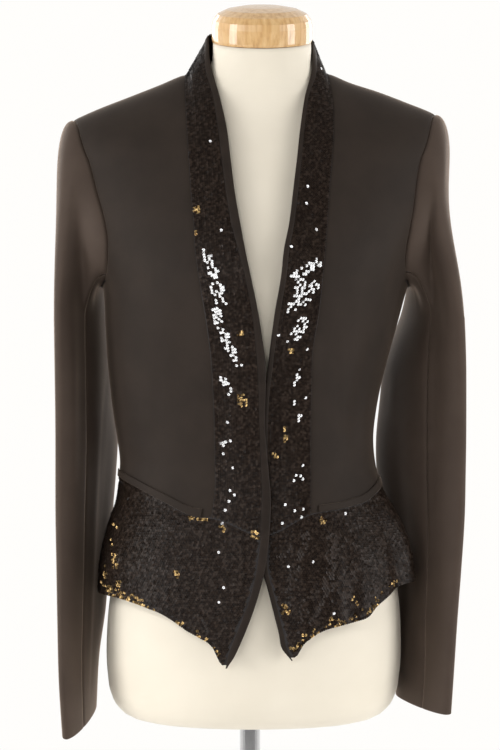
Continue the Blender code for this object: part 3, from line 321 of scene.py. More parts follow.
def smooth_at(keys, values, key):
    """A smooth curve through the rows of a table, read at any key inside or near it."""
    steps = np.diff(keys)
    slopes = np.diff(values) / steps
    tangents = np.empty(len(keys))
    tangents[0] = slopes[0]
    tangents[-1] = slopes[-1]
    tangents[1:-1] = (slopes[:-1] * steps[1:] + slopes[1:] * steps[:-1]) / (steps[:-1] + steps[1:])
    i = np.clip(np.searchsorted(keys, key) - 1, 0, len(keys) - 2)
    step = steps[i]
    t = (key - keys[i]) / step
    inside = np.clip(t, 0.0, 1.0)
    left = 1 - inside
    start = (1 + 2 * inside) * left**2 * values[i] + inside * left**2 * step * tangents[i]
    end = inside**2 * (3 - 2 * inside) * values[i + 1] + inside**2 * (inside - 1) * step * tangents[i + 1]
    beyond = (t - inside) * step * np.where(t < 0, tangents[i], tangents[i + 1])
    return start + end + beyond


def read(columns, name, key):
    """A column of a table at a value of its first column."""
    return smooth_at(next(iter(columns.values())), columns[name], np.asarray(key, float))


def ease(start, end, value):
    """0 before start, 1 after end, and a soft step between."""
    t = np.clip((np.asarray(value, float) - start) / (end - start), 0.0, 1.0)
    return t * t * (3 - 2 * t)


def mix(a, b, share):
    return a + (b - a) * share


def shoulder_z(x):
    return read(SHOULDER, "z", x)


def level_of(x, z):
    """A point's level: 0 at the chest top, 1 on the shoulder seam, negative lower down."""
    rise = z - CHEST_TOP
    span = shoulder_z(x) - CHEST_TOP
    high = np.arcsin(np.clip(rise / span, 0.0, 1.0)) / (math.pi / 2)
    return np.where(rise < 0, rise / LEVEL_DROP, high)


def height_of(x, level):
    span = shoulder_z(x) - CHEST_TOP
    high = span * np.sin(np.maximum(level, 0) * math.pi / 2)
    return CHEST_TOP + np.where(level < 0, LEVEL_DROP * level, high)


def torso_x(angle, z):
    mid, right, left = [read(TORSO, name, z) for name in ("mid", "right", "left")]
    sine = np.sin(angle)
    return mid + np.where(sine < 0, mid - right, left - mid) * sine


def angle_of(x, z):
    """How far round the front a point at x is, in radians, negative on the wearer's right."""
    mid, right, left = [read(TORSO, name, z) for name in ("mid", "right", "left")]
    half = np.where(x < mid, mid - right, left - mid)
    return np.arcsin(np.clip((x - mid) / half, -1.0, 1.0))


def turns_between(angle, centre):
    """Degrees from centre to angle the short way round."""
    return (np.degrees(angle) - centre + 180.0) % 360.0 - 180.0


def cloth_relief(angle, z):
    """How far the cloth stands out of the plain torso: flutes in the skirt, soft folds higher up."""
    out = np.zeros(np.broadcast(angle, z).shape)
    for centre, width, height, start, whole in FLUTES:
        hang = ease(start, whole, z)
        out = out + hang * height * np.exp(-((turns_between(angle, centre) / width) ** 2))
    for centre, width, middle, spread, depth in FOLDS:
        across = np.exp(-((turns_between(angle, centre) / width) ** 2))
        out = out - depth * across * np.exp(-(((z - middle) / spread) ** 2))
    return out


def torso(angle, level):
    """The outer face of the blazer's body at an angle round it and a level up it."""
    angle = np.asarray(angle, float)
    level = np.asarray(level, float)
    x = NECK_MID_X + 150.0 * np.sin(angle)
    for _ in range(6):
        z = height_of(x, level)
        x = torso_x(angle, z)
    front = read(TORSO, "front", z)
    back = read(TORSO, "back", z)
    cosine = np.cos(angle)
    y = np.where(cosine > 0, -front * np.abs(cosine) ** FRONT_FULLNESS, back * np.abs(cosine))
    roll = np.cos(np.maximum(level, 0) * math.pi / 2)
    relief = cloth_relief(angle, z) * (1 - ease(0.0, 0.6, level))
    x = x + relief * np.sin(angle)
    y = mix(SHOULDER_SEAM_Y, y, roll) - relief * cosine
    return np.stack([x, y, z], axis=-1)


def torso_at(x, z):
    """The torso's front at a distance from the middle and a height."""
    return torso(angle_of(x, z), level_of(x, z))


def lap_of(side, x, z):
    """How far a front stands out near the middle, where one lies over the other."""
    if side < 0:
        near = ease(*LAP_RIGHT_X, x)
    else:
        near = -ease(*LAP_LEFT_X, x)
    return LAP * near * ease(*LAP_Z, z)


def with_lap(points, side):
    points = points.copy()
    points[..., 1] -= lap_of(side, points[..., 0], points[..., 2])
    return points


def side_name(side):
    return "right" if side < 0 else "left"


def front_row(side, name, share):
    """A column of a front's table at a share of the way up it, its rows evenly shared."""
    values = FRONT[side][name]
    return smooth_at(np.linspace(0.0, 1.0, len(values)), values, np.asarray(share, float))


def row_levels(x, z):
    """The level of each row of a table, so that what is read between rows eases onto the shoulder seam."""
    return level_of(x, np.minimum(z, shoulder_z(x)))


def armhole_edge(side, table, share):
    """Angle and level of the armhole's seam at a share of the way from the underarm to the shoulder."""
    share = np.asarray(share, float)
    x = read(table, "x", share)
    level = smooth_at(table["share"], row_levels(table["x"], table["z"]), share)
    angle = mix(side * math.pi / 2, angle_of(x, height_of(x, level)), ease(0.0, 0.07, share))
    return angle, level


def edge_height(side, angle, table, back_z):
    """Height of the waist seam or hem at an angle: its table in front, and level round the back."""
    angle = np.asarray(angle, float)
    turned = np.abs((angle + math.pi) % (2 * math.pi) - math.pi)
    front_angle = side * np.minimum(turned, math.pi / 2) * np.where(np.sin(angle) * side < 0, -1, 1)
    front_angle = np.where(turned < math.pi / 2, np.arctan2(np.sin(angle), np.cos(angle)), front_angle)
    z = np.full(angle.shape, 0.5 * (table["z"][0] + table["z"][-1]))
    for _ in range(6):
        z = read(table, "z", torso_x(front_angle, z))
    return mix(z, back_z, ease(math.pi / 2, 0.8 * math.pi, turned))


def waist_height(side, angle):
    return edge_height(side, angle, WAIST[side], WAIST_BACK_Z)


def hem_height(side, angle):
    return edge_height(side, angle, HEM[side], HEM_BACK_Z)


def level_at(angle, z):
    return level_of(torso_x(angle, z), z)


def outer_edge(side, table, v):
    """The side seam from the waist to the underarm and then the armhole, as one edge of a panel."""
    v = np.asarray(v, float)
    under = np.full(v.shape, side * math.pi / 2)
    waist_z = waist_height(side, under)
    low_z = mix(waist_z, UNDERARM_Z, np.minimum(v / ARM_START, 1.0))
    high_angle, high_level = armhole_edge(side, table, np.clip((v - ARM_START) / (1 - ARM_START), 0.0, 1.2))
    low = v < ARM_START
    return np.where(low, under, high_angle), np.where(low, level_at(under, low_z), high_level)


def to_waist(side, edges, u, v):
    """A panel's angle and level, shifted near the waist so that its lowest row lies on the waist seam."""
    angle, level = edges(u, v)
    base_angle, base_level = edges(u, np.zeros_like(v))
    lift = level_at(base_angle, waist_height(side, base_angle)) - base_level
    return angle, level + lift * (1 - ease(0.0, WAIST_BLEND, np.abs(v)))


def wool_edge(side, v):
    """Angle and level of the seam between the crepe and the band, from the waist to the neck."""
    x, z = FRONT[side]["wool"], FRONT[side]["z_wool"]
    level = smooth_at(np.linspace(0.0, 1.0, len(x)), row_levels(x, z), np.asarray(v, float))
    x = front_row(side, "wool", v)
    return angle_of(x, height_of(x, level)), level


def front_surface(side):
    """The crepe front: u from the band to the side seam and armhole, v from the waist to the shoulder."""
    table = ARMHOLE_FRONT[side]

    def edges(u, v):
        inner_angle, inner_level = wool_edge(side, v)
        outer_angle, outer_level = outer_edge(side, table, v)
        return mix(inner_angle, outer_angle, u), mix(inner_level, outer_level, u)

    def surface(u, v):
        return with_lap(torso(*to_waist(side, edges, u, v)), side)

    return surface


def neckline(u):
    """The seam between back and collar: u from the right shoulder seam round the back to the left."""
    turn = math.pi * np.asarray(u, float)
    half = np.where(np.cos(turn) > 0, NECK_MID_X - NECK_RIGHT_X, NECK_LEFT_X - NECK_MID_X)
    x = NECK_MID_X - half * np.cos(turn)
    y = SHOULDER_SEAM_Y + NECK_DEPTH * np.sin(turn)
    return neckline_point(x, y)


def neckline_y(x):
    half = np.where(x < NECK_MID_X, NECK_MID_X - NECK_RIGHT_X, NECK_LEFT_X - NECK_MID_X)
    reach = np.clip((x - NECK_MID_X) / half, -1.0, 1.0)
    return SHOULDER_SEAM_Y + NECK_DEPTH * np.sqrt(1 - reach**2)


def neckline_point(x, y):
    z = np.full(np.shape(x), NECK_SEAM_Z)
    for _ in range(8):
        depth = read(TORSO, "back", z) * np.cos(angle_of(x, z))
        share = (y - SHOULDER_SEAM_Y) / (depth - SHOULDER_SEAM_Y)
        level = np.arccos(np.clip(share, -1.0, 1.0)) / (math.pi / 2)
        z = height_of(x, level)
    return x, y, z, level


def back_top_level(angle):
    """Level of the back's upper edge: the neckline near the middle, the shoulder seam beyond it."""
    x = torso_x(angle, NECK_SEAM_Z + 0 * angle)
    level = neckline_point(x, neckline_y(x))[3]
    outside = (x < NECK_RIGHT_X) | (x > NECK_LEFT_X)
    return np.where(outside, 1.0, level)


def back_surface(side):
    """A half of the back: u from the centre seam to the side seam and armhole, v from waist to shoulder."""
    table = ARMHOLE_BACK[side]
    middle = side * math.pi

    def edges(u, v):
        outer_angle, outer_level = outer_edge(side, table, v)
        outer_angle = side * math.pi - outer_angle
        inner_angle = np.full(v.shape, middle)
        top = back_top_level(inner_angle)
        bottom = level_at(inner_angle, np.full(v.shape, WAIST_BACK_Z))
        return mix(inner_angle, outer_angle, u), mix(mix(bottom, top, v), outer_level, u)

    def surface(u, v):
        angle, level = to_waist(side, edges, u, v)
        top_angle, top_level = edges(u, np.ones_like(v))
        level = level + (back_top_level(top_angle) - top_level) * ease(0.55, 1.0, v)
        return torso(angle, level)

    return surface


def edge_surface(side):
    """The band and its edge strip: u from the crepe to the front's edge, v from the waist to the neck."""

    def edges(u, v):
        wool_angle, wool_level = wool_edge(side, v)
        edge_x = front_row(side, "edge", v)
        edge_z = np.minimum(front_row(side, "z_edge", v), NECK_EDGE_Z)
        angle = mix(wool_angle, angle_of(edge_x, edge_z), u)
        return angle, mix(wool_level, level_of(edge_x, edge_z), u)

    def surface(u, v):
        angle, level = to_waist(side, edges, u, v)
        wool_point = torso(*wool_edge(side, v))
        edge_point = np.stack([front_row(side, name, v) for name in ("edge", "y_edge", "z_edge")], axis=-1)
        ruled = mix(wool_point, edge_point, u[..., None])
        ruled[..., 1] -= BAND_BULGE * 4 * u * (1 - u) * (1 - ease(0.9, 1.0, v))
        share = ease(*BAND_LEAVES_Z, wool_point[..., 2]) * ease(0.0, 0.25, u)
        return with_lap(mix(torso(angle, level), ruled, share[..., None]), side)

    return surface


def band_share(side, v):
    """How far across from crepe to edge the band ends and the strip starts."""
    wool = front_row(side, "wool", v)
    edge = front_row(side, "edge", v)
    return (front_row(side, "strip", v) - wool) / (edge - wool)


def inner_height(side, share):
    """Height along the edge between skirt and strip, from the skirt's lowest point (0) to the waist (1)."""
    z = POINT[side]["z"]
    return mix(z[0] + SKIRT_POINT_RISE, z[-1], share)


def strip_surface(side):
    """The plain strip of a front: u across it, v from the skirt's point (-1) past the waist (0) up."""
    whole = edge_surface(side)
    waist_z = POINT[side]["z"][-1]

    def surface(u, v):
        up = np.maximum(v, 0.0)
        above = whole(mix(band_share(side, up), 1.0, u), up)
        z = inner_height(side, 1 + np.minimum(v, 0.0))
        x = mix(read(POINT[side], "strip", z), read(POINT[side], "edge", z), u)
        z = z + (above[..., 2] - waist_z) * (1 - ease(0.0, 0.5, -v)) * u
        below = with_lap(torso_at(x, z), side)
        return np.where((v >= 0)[..., None], above, below)

    return surface


def skirt_surface(side):
    """A sequinned front of the skirt: u from the strip to the side seam, v from the hem to the waist."""

    def column_angle(u, v):
        z = inner_height(side, v)
        return mix(angle_of(read(POINT[side], "strip", z), z), side * math.pi / 2, u)

    def surface(u, v):
        top = waist_height(side, column_angle(u, np.ones_like(v)))
        bottom = hem_height(side, column_angle(u, np.zeros_like(v)))
        angle = column_angle(u, v)
        z = mix(bottom, top, v)
        z = mix(inner_height(side, v), z, ease(0.0, 0.06, u))
        return with_lap(torso(angle, level_at(angle, z)), side)

    return surface


def either_side(height, angle):
    """A height of the waist seam or hem, from the right's table or the left's."""
    return np.where(np.sin(angle) < 0, height(-1, angle), height(1, angle))


def skirt_back_surface(u, v):
    """The back of the skirt: u from the right side seam round to the left, v from the hem to the waist."""
    angle = -math.pi / 2 - math.pi * u
    z = mix(either_side(hem_height, angle), either_side(waist_height, angle), v)
    return torso(angle, level_at(angle, z))


def collar_surface(u, v):
    """The standing collar: u from the right shoulder seam round the back to the left, v up it."""
    base_x, base_y, base_z, _ = neckline(u)
    turn = math.pi * u
    top_x = COLLAR_TOP_MID_X - COLLAR_TOP_HALF * np.cos(turn)
    top_y = 5.0 + COLLAR_TOP_DEPTH * np.sin(turn)
    side_z = mix(COLLAR_TOP_RIGHT_Z, COLLAR_TOP_LEFT_Z, u)
    top_z = mix(side_z, COLLAR_TOP_BACK_Z, np.sin(turn))
    out = COLLAR_BULGE * 4 * v * (1 - v) * np.sin(turn)
    x = mix(base_x, top_x, v) - out * np.cos(turn)
    y = mix(base_y, top_y, v) + out * np.sin(turn)
    return np.stack([x, y, mix(base_z, top_z, v)], axis=-1)


def sleeve_ring(side, z, turn):
    """A point of a sleeve's plain tube at a height; turn is 0 on the front fold and 90 on the outer face."""
    names = ("outer", "inner", "y", "breadth", "thick")
    outer, inner, middle_y, breadth, thick = [read(SLEEVE[side], name, z) for name in names]
    reach = np.abs(outer - inner) / 2
    sine = np.sqrt((reach**2 - thick**2) / (breadth**2 - thick**2))
    cosine = np.sqrt(1 - sine**2)
    dent = np.zeros(np.broadcast(z, turn).shape)
    for centre, width, middle, spread, depth in SLEEVE_FOLDS:
        across = np.exp(-((turns_between(np.radians(turn), centre) / width) ** 2))
        dent = dent + depth * across * np.exp(-(((z - middle) / spread) ** 2))
    along = breadth * np.cos(np.radians(turn))
    up = np.sin(np.radians(turn))
    out = thick * np.sign(up) * np.abs(up) ** SLEEVE_FULLNESS - dent * up
    x = (outer + inner) / 2 + side * (along * sine + out * cosine)
    y = middle_y - along * cosine + out * sine
    return np.stack([x, y, z + 0 * x], axis=-1)


def armhole_point(side, turn):
    """Where the sleeve is sewn in: turn is -90 at the underarm, 0 in front, 90 on top and 180 behind."""
    wrapped = (turn + 90.0) % 360.0
    front_share = np.clip(wrapped / 180.0, 0.0, 1.0)
    back_share = np.clip((360.0 - wrapped) / 180.0, 0.0, 1.0)
    front = torso(*armhole_edge(side, ARMHOLE_FRONT[side], front_share))
    back_angle, back_level = armhole_edge(side, ARMHOLE_BACK[side], back_share)
    back = torso(side * math.pi - back_angle, back_level)
    point = np.where((wrapped < 180.0)[..., None], front, back)
    point[..., 0] += side * ARMHOLE_GAP
    point[..., 2] += ARMHOLE_GAP * (1 - ease(-1.0, -0.3, np.sin(np.radians(turn))))
    return point


def tube_turn(turn):
    """Where on the tube the cloth of a place on the armhole ends up."""
    from_under = np.abs((turn + 270) % 360 - 180)
    return turn - SLEEVE_TWIST * (1 - np.cos(np.minimum(from_under / TWIST_REACH, 1) * math.pi)) / 2


def sleeve_surface(side):
    """A whole sleeve: u in degrees round the armhole, v from the cuff to the armhole."""
    cuff_z = SLEEVE[side]["z"][0]
    cuff_rise = CUFF_RISE_RIGHT if side < 0 else CUFF_RISE_LEFT
    dent = CAP_DENT_RIGHT if side < 0 else CAP_DENT_LEFT
    cap_start = 1 - CAP_SHARE

    def tube(turn, v):
        down = np.maximum(1 - v / cap_start, -0.05)
        z = mix(CAP_END, cuff_z, down)
        ring = sleeve_ring(side, z, tube_turn(turn))
        tilt = cuff_rise * ease(0.55, 1.0, down)
        ring[..., 2] += tilt * (ring[..., 1] - read(SLEEVE[side], "y", z))
        return ring

    def cap(turn, v):
        t = np.clip((1 - v) / CAP_SHARE, -0.05, 1.0)[..., None]
        start = armhole_point(side, turn)
        ring_turn = tube_turn(turn)
        end = sleeve_ring(side, np.full(turn.shape, CAP_END), ring_turn)
        under = 1 - ease(-1.0, 0.0, np.sin(np.radians(turn)))
        leave = np.zeros(start.shape)
        leave[..., 0] = side * mix(CAP_OUT, CAP_UNDER_OUT, under)
        leave[..., 2] = CAP_UNDER_UP * under
        below = sleeve_ring(side, np.full(turn.shape, CAP_END - 5.0), ring_turn) - end
        reach = np.linalg.norm(end - start, axis=-1, keepdims=True)
        arrive = below / 5.0 * reach * CAP_DOWN
        point = (
            (2 * t**3 - 3 * t**2 + 1) * start
            + (t**3 - 2 * t**2 + t) * leave
            + (3 * t**2 - 2 * t**3) * end
            + (t**3 - t**2) * arrive
        )
        outside = ((1 + np.cos(np.radians(turn - 75.0))) / 2) ** 2
        at_dent = np.exp(-(((t[..., 0] - 0.57) / 0.24) ** 2)) * ease(0.0, 0.2, t[..., 0])
        point[..., 0] -= side * dent * outside * at_dent
        return point

    def surface(u, v):
        return np.where((v >= cap_start)[..., None], cap(u, np.maximum(v, cap_start)), tube(u, v))

    return surface


def around_torso(points):
    axis = np.zeros(points.shape)
    axis[..., 0] = 6.0
    axis[..., 1] = 4.0
    axis[..., 2] = np.minimum(points[..., 2], 1120.0)
    return axis


def around_sleeve(side):
    def axis(points):
        z = np.minimum(points[..., 2], 1080.0)
        outer, inner, y = [read(SLEEVE[side], name, z) for name in ("outer", "inner", "y")]
        return np.stack([(outer + inner) / 2, y, z], axis=-1)

    return axis


def crease_depth(creases, along, up):
    """Sum of the creases at points of a chart. Each fades at its ends."""
    total = np.zeros(np.broadcast(along, up).shape)
    for width, depth, path in creases:
        nearest = np.full(total.shape, 1e9)
        share = np.zeros(total.shape)
        steps = len(path) - 1
        for i in range(steps):
            (ax, ay), (bx, by) = path[i], path[i + 1]
            length = (bx - ax) ** 2 + (by - ay) ** 2
            t = np.clip(((along - ax) * (bx - ax) + (up - ay) * (by - ay)) / length, 0.0, 1.0)
            distance = np.hypot(along - ax - t * (bx - ax), up - ay - t * (by - ay))
            closer = distance < nearest
            share = np.where(closer, (i + t) / steps, share)
            nearest = np.minimum(distance, nearest)
        fade = np.clip(4 * share * (1 - share), 0.0, 1.0) ** 0.5
        total += depth * np.exp(-((nearest / width) ** 2)) * fade
    return total


def border_distance(points):
    """Millimetres from each grid point to each of the four borders, along the grid lines."""
    du = np.linalg.norm(np.diff(points, axis=0), axis=-1)
    dv = np.linalg.norm(np.diff(points, axis=1), axis=-1)
    u0 = np.concatenate([np.zeros((1, points.shape[1])), np.cumsum(du, axis=0)])
    v0 = np.concatenate([np.zeros((points.shape[0], 1)), np.cumsum(dv, axis=1)], axis=1)
    return u0, u0[-1:] - u0, v0, v0[:, -1:] - v0


def grid_normals(points, around):
    across = np.gradient(points, axis=0)
    along = np.gradient(points, axis=1)
    normals = np.cross(across, along)
    length = np.linalg.norm(normals, axis=-1, keepdims=True)
    normals /= np.maximum(length, 1e-9)
    if np.sum(normals * (points - around(points))) < 0:
        return -normals, True
    return normals, False


def steps_between(start, end, length, step):
    """Shares from start to end at about one step in millimetres, with two close rows at each end."""
    count = max(3, int(round(length / step)))
    inner = np.linspace(start, end, count + 1)
    near = (end - start) / length
    first = [start, start + 0.25 * near, start + 0.8 * near]
    last = [end - 0.8 * near, end - 0.25 * near, end]
    middle = [x for x in inner if (x - first[-1]) / near > 0.5 and (last[0] - x) / near > 0.5]
    return np.array(first + middle + last)


# Creases as (width, depth, path of (across, height)), first those seen from the front, then from the back.
BODY_CREASES = (
    (
        (9.0, -1.3, ((132, 1050), (123, 950), (129, 890), (138, 825))),
        (6.0, 0.6, ((146, 985), (140, 920), (146, 860))),
        (1.8, -0.7, ((-92, 945), (-97, 870), (-103, 790))),
        (1.8, -0.7, ((88, 945), (92, 870), (98, 790))),
        (17.0, -1.1, ((-66, 990), (-68, 940), (-70, 875))),
        (10.0, -0.8, ((-138, 1030), (-118, 1000), (-100, 985))),
        (8.0, -0.8, ((-128, 845), (-105, 832), (-85, 828))),
        (7.0, -0.7, ((-130, 815), (-110, 806), (-92, 806))),
        (9.0, -0.7, ((60, 1010), (75, 960), (80, 900))),
        (7.0, -0.8, ((130, 860), (110, 842), (88, 838))),
    ),
    (
        (2.2, -0.8, ((-64, 965), (-58, 880), (-60, 812))),
        (2.2, -0.8, ((64, 965), (58, 880), (61, 812))),
        (8.0, -1.3, ((-78, 852), (-30, 838), (22, 847))),
        (7.0, -1.0, ((-42, 824), (18, 815), (76, 826))),
        (8.0, -1.0, ((-14, 873), (40, 862), (84, 871))),
        (9.0, -0.9, ((-100, 1040), (-92, 1000), (-96, 960))),
        (9.0, -0.9, ((104, 1035), (95, 990), (97, 955))),
    ),
)
SLEEVE_CREASES = (
    (
        (1.2, -0.8, ((-147, 916), (-152, 858), (-155, 801), (-161, 666), (-166, 562))),
        (7.0, -1.7, ((-167, 978), (-167, 900), (-165, 800), (-168, 700), (-172, 600))),
        (5.0, 0.8, ((-183, 940), (-184, 860), (-183, 790))),
        (9.0, -1.0, ((-187, 1000), (-192, 950), (-190, 900))),
        (1.4, 0.6, ((148, 920), (148, 817))),
        (8.0, -1.3, ((189, 1035), (196, 960), (192, 860), (190, 760), (189, 650))),
        (6.0, 0.7, ((176, 940), (180, 860), (178, 760))),
        (7.0, -1.0, ((166, 850), (178, 842), (196, 850))),
        (6.0, -0.9, ((168, 822), (182, 816), (198, 826))),
        (8.0, -0.9, ((170, 640), (180, 600), (184, 560))),
    ),
    (
        (6.0, -1.3, ((-200, 868), (-182, 858), (-160, 864))),
        (5.0, -1.1, ((-198, 840), (-178, 834), (-162, 838))),
        (6.0, -1.0, ((-196, 812), (-180, 806), (-165, 812))),
        (6.0, -1.3, ((210, 862), (190, 850), (168, 858))),
        (5.0, -1.1, ((208, 834), (188, 827), (170, 832))),
        (6.0, -1.0, ((206, 806), (190, 800), (174, 806))),
        (8.0, -1.0, ((-178, 760), (-176, 690), (-180, 620))),
        (8.0, -1.0, ((186, 760), (184, 690), (187, 620))),
    ),
)


def crease_relief(creases, points, normals):
    """How far the creases of the side that each point faces push it out."""
    total = np.zeros(points.shape[:2])
    if not creases:
        return total
    seen = seen_from_front(points)
    facing = -normals[..., 1]
    total += crease_depth(creases[0], seen[..., 0], seen[..., 1]) * ease(0.0, 0.25, facing)
    total += crease_depth(creases[1], points[..., 0], points[..., 2]) * ease(0.0, 0.25, -facing)
    return total


def cloth(
    name, surface, us, vs, thick, slots, around=around_torso, sink=0.0, seams=(0, 0, 0, 0), crown=0.0,
    creases=(),
):
    """A thin closed shell of cloth with rounded edges.

    Its outer face lies sink inside the surface, dips at its four borders by seams, and swells by crown.
    """
    u, v = np.meshgrid(us, vs, indexing="ij")
    points = surface(u, v)
    normals, flip = grid_normals(points, around)
    borders = border_distance(points)
    nearest = np.minimum.reduce(borders)
    out = -(sink + thick / 2) * np.ones(nearest.shape)
    for depth, distance in zip(seams, borders):
        out -= depth * np.exp(-((distance / SEAM_REACH) ** 2))
    if crown:
        half = np.maximum((borders[0] + borders[1]) / 2, 0.1)
        out += crown * (1 - (1 - np.minimum(borders[0], borders[1]) / half) ** 2)
    out += crease_relief(creases, points, normals)
    middle = points + normals * out[..., None]
    roundness = np.sqrt(1 - np.clip(1 - nearest / (thick / 2), 0.0, 1.0) ** 2) * thick / 2
    outer = middle + normals * roundness[..., None]
    inner = middle - normals * roundness[..., None]
    rows, cols = outer.shape[:2]
    front = np.arange(rows * cols).reshape(rows, cols)
    back = front.copy()
    inside = np.zeros((rows, cols), bool)
    inside[1:-1, 1:-1] = True
    back[inside] = rows * cols + np.arange(int(inside.sum()))
    vertices = np.concatenate([outer.reshape(-1, 3), inner[inside]])

    def quads(index, turn):
        a, b = index[:-1, :-1], index[1:, :-1]
        c, d = index[1:, 1:], index[:-1, 1:]
        order = (d, c, b, a) if turn else (a, b, c, d)
        return np.stack(order, axis=-1).reshape(-1, 4)

    faces = np.concatenate([quads(front, flip), quads(back, not flip)])
    kinds = np.zeros(len(faces), int)
    kinds[len(faces) // 2 :] = 1
    return make_object(name, vertices, faces, slots, kinds)


def make_object(name, vertices, faces, materials, kinds=None):
    mesh = bpy.data.meshes.new(name)
    faces = np.asarray(faces)
    per_face = faces.shape[1]
    mesh.vertices.add(len(vertices))
    mesh.vertices.foreach_set("co", (np.asarray(vertices) * MM).astype(np.float32).ravel())
    mesh.loops.add(faces.size)
    mesh.loops.foreach_set("vertex_index", faces.astype(np.int32).ravel())
    mesh.polygons.add(len(faces))
    mesh.polygons.foreach_set("loop_start", np.arange(0, faces.size, per_face, dtype=np.int32))
    if kinds is not None:
        mesh.polygons.foreach_set("material_index", np.asarray(kinds, np.int32))
    mesh.update(calc_edges=True)
    mesh.validate()
    mesh.shade_smooth()
    for material in materials:
        mesh.materials.append(material)
    obj = bpy.data.objects.new(name, mesh)
    bpy.context.scene.collection.objects.link(obj)
    return obj


def set_inputs(node, settings):
    """Sets a node's inputs or properties by their names, with underscores for spaces."""
    for key, value in settings.items():
        name = key.replace("_", " ")
        if name in node.inputs:
            node.inputs[name].default_value = value
        else:
            setattr(node, key, value)


def shader_of(material):
    return material.node_tree.nodes["Principled BSDF"]


def new_material(name, colour, roughness, **settings):
    material = bpy.data.materials.new(name)
    material.use_nodes = True
    material.diffuse_color = (*colour, 1.0)
    shader = shader_of(material)
    shader.inputs["Base Color"].default_value = (*colour, 1.0)
    shader.inputs["Roughness"].default_value = roughness
    set_inputs(shader, settings)
    return material


def join(material, start, output, end, entry):
    material.node_tree.links.new(start.outputs[output], end.inputs[entry])


def add_node(material, kind, place=None, **settings):
    """A node of a material or world, read at a place if one is given."""
    node = material.node_tree.nodes.new(kind)
    set_inputs(node, settings)
    if place is not None:
        join(material, place, "Vector", node, "Vector")
    return node


def place_of(material, stretch=(1.0, 1.0, 1.0)):
    """Object coordinates in metres, stretched."""
    mapping = add_node(material, "ShaderNodeMapping", Scale=stretch)
    join(material, add_node(material, "ShaderNodeTexCoord"), "Object", mapping, "Vector")
    return mapping


def noise(material, place, scale, detail=3.0, roughness=0.55):
    return add_node(material, "ShaderNodeTexNoise", place, Scale=scale, Detail=detail, Roughness=roughness)


def tint(material, source, *stops, output="Fac"):
    """Colours the shader by a pattern, through a ramp of (place, colour) stops."""
    ramp = add_node(material, "ShaderNodeValToRGB")
    elements = ramp.color_ramp.elements
    elements[0].position, elements[0].color = stops[0][0], (*stops[0][1], 1.0)
    elements[1].position, elements[1].color = stops[-1][0], (*stops[-1][1], 1.0)
    for place, colour in stops[1:-1]:
        elements.new(place).color = (*colour, 1.0)
    join(material, source, output, ramp, "Fac")
    join(material, ramp, "Color", shader_of(material), "Base Color")


def polish(material, source, low, high):
    """Makes the shader's roughness follow a pattern, from low to high."""
    node = add_node(material, "ShaderNodeMapRange", To_Min=low, To_Max=high)
    join(material, source, "Fac", node, "Value")
    join(material, node, "Result", shader_of(material), "Roughness")


def bumps(material, *sources):
    """Chains bumps of (node, output, strength, depth in metres) into the shader's normal."""
    before = None
    for source, output, strength, depth in sources:
        node = add_node(material, "ShaderNodeBump", Strength=strength, Distance=depth)
        join(material, source, output, node, "Height")
        if before is not None:
            join(material, before, "Normal", node, "Normal")
        before = node
    join(material, before, "Normal", shader_of(material), "Normal")


WARM_SHEEN = (0.66, 0.51, 0.40, 1.0)


def crepe_material(name, dark, light, sheen):
    """Matt black-brown crepe: a fine pebbly yarn, uneven in tone, with a soft warm sheen at its edges."""
    material = new_material(
        name, dark, 0.75, Sheen_Weight=sheen, Sheen_Roughness=0.3, Sheen_Tint=WARM_SHEEN,
        Specular_IOR_Level=0.2,
    )
    place = place_of(material)
    pebble = add_node(material, "ShaderNodeTexVoronoi", place, Scale=1500.0, Randomness=1.0)
    yarn = noise(material, place, 900.0)
    tint(material, noise(material, place, 22.0), (0.35, dark), (0.65, light))
    polish(material, yarn, 0.62, 0.82)
    bumps(material, (pebble, "Distance", 0.5, 0.00012), (yarn, "Fac", 0.35, 0.0001))
    return material


def lining_material():
    """Smooth black satin on the inside of the crepe."""
    material = new_material("lining_satin", (0.012, 0.010, 0.010), 0.38)
    thread = noise(material, place_of(material, (1.0, 1.0, 0.12)), 1600.0, 2.0)
    polish(material, thread, 0.3, 0.46)
    bumps(material, (thread, "Fac", 0.2, 0.00005))
    return material


def binding_material():
    """The plain bound edge: the same dark cloth, cut on the bias and pressed smoother."""
    material = new_material(
        "binding_cloth", (0.03, 0.022, 0.018), 0.6, Sheen_Weight=0.12, Sheen_Tint=WARM_SHEEN,
        Specular_IOR_Level=0.14,
    )
    place = place_of(material)
    slant = add_node(
        material, "ShaderNodeTexWave", place, Scale=520.0, Distortion=1.5, Detail=2.0,
        bands_direction="DIAGONAL",
    )
    tone = noise(material, place, 60.0)
    tint(material, tone, (0.35, (0.013, 0.0086, 0.0062)), (0.65, (0.019, 0.0128, 0.0095)))
    bumps(material, (slant, "Fac", 0.3, 0.00008))
    return material


def net_material():
    """The black net under the sequins, on its backing."""
    material = new_material("sequin_net", (0.012, 0.009, 0.008), 0.8)
    place = place_of(material)
    cells = add_node(material, "ShaderNodeTexVoronoi", place, Scale=800.0, feature="DISTANCE_TO_EDGE")
    tint(material, cells, (0.02, (0.03, 0.024, 0.022)), (0.12, (0.007, 0.005, 0.005)), output="Distance")
    bumps(material, (cells, "Distance", 0.6, 0.0002))
    return material


def sequin_material(name, colour, roughness, dark, light, polish_range, scuffed=True, **settings):
    """Glossy plastic or bronze, each sequin a little different in depth and polish."""
    material = new_material(name, colour, roughness, **settings)
    place = place_of(material)
    each = noise(material, place, 420.0, 1.0)
    tint(material, each, dark, light)
    polish(material, each, *polish_range)
    if scuffed:
        bumps(material, (noise(material, place, 2600.0, 2.0), "Fac", 0.1, 0.00004))
    return material


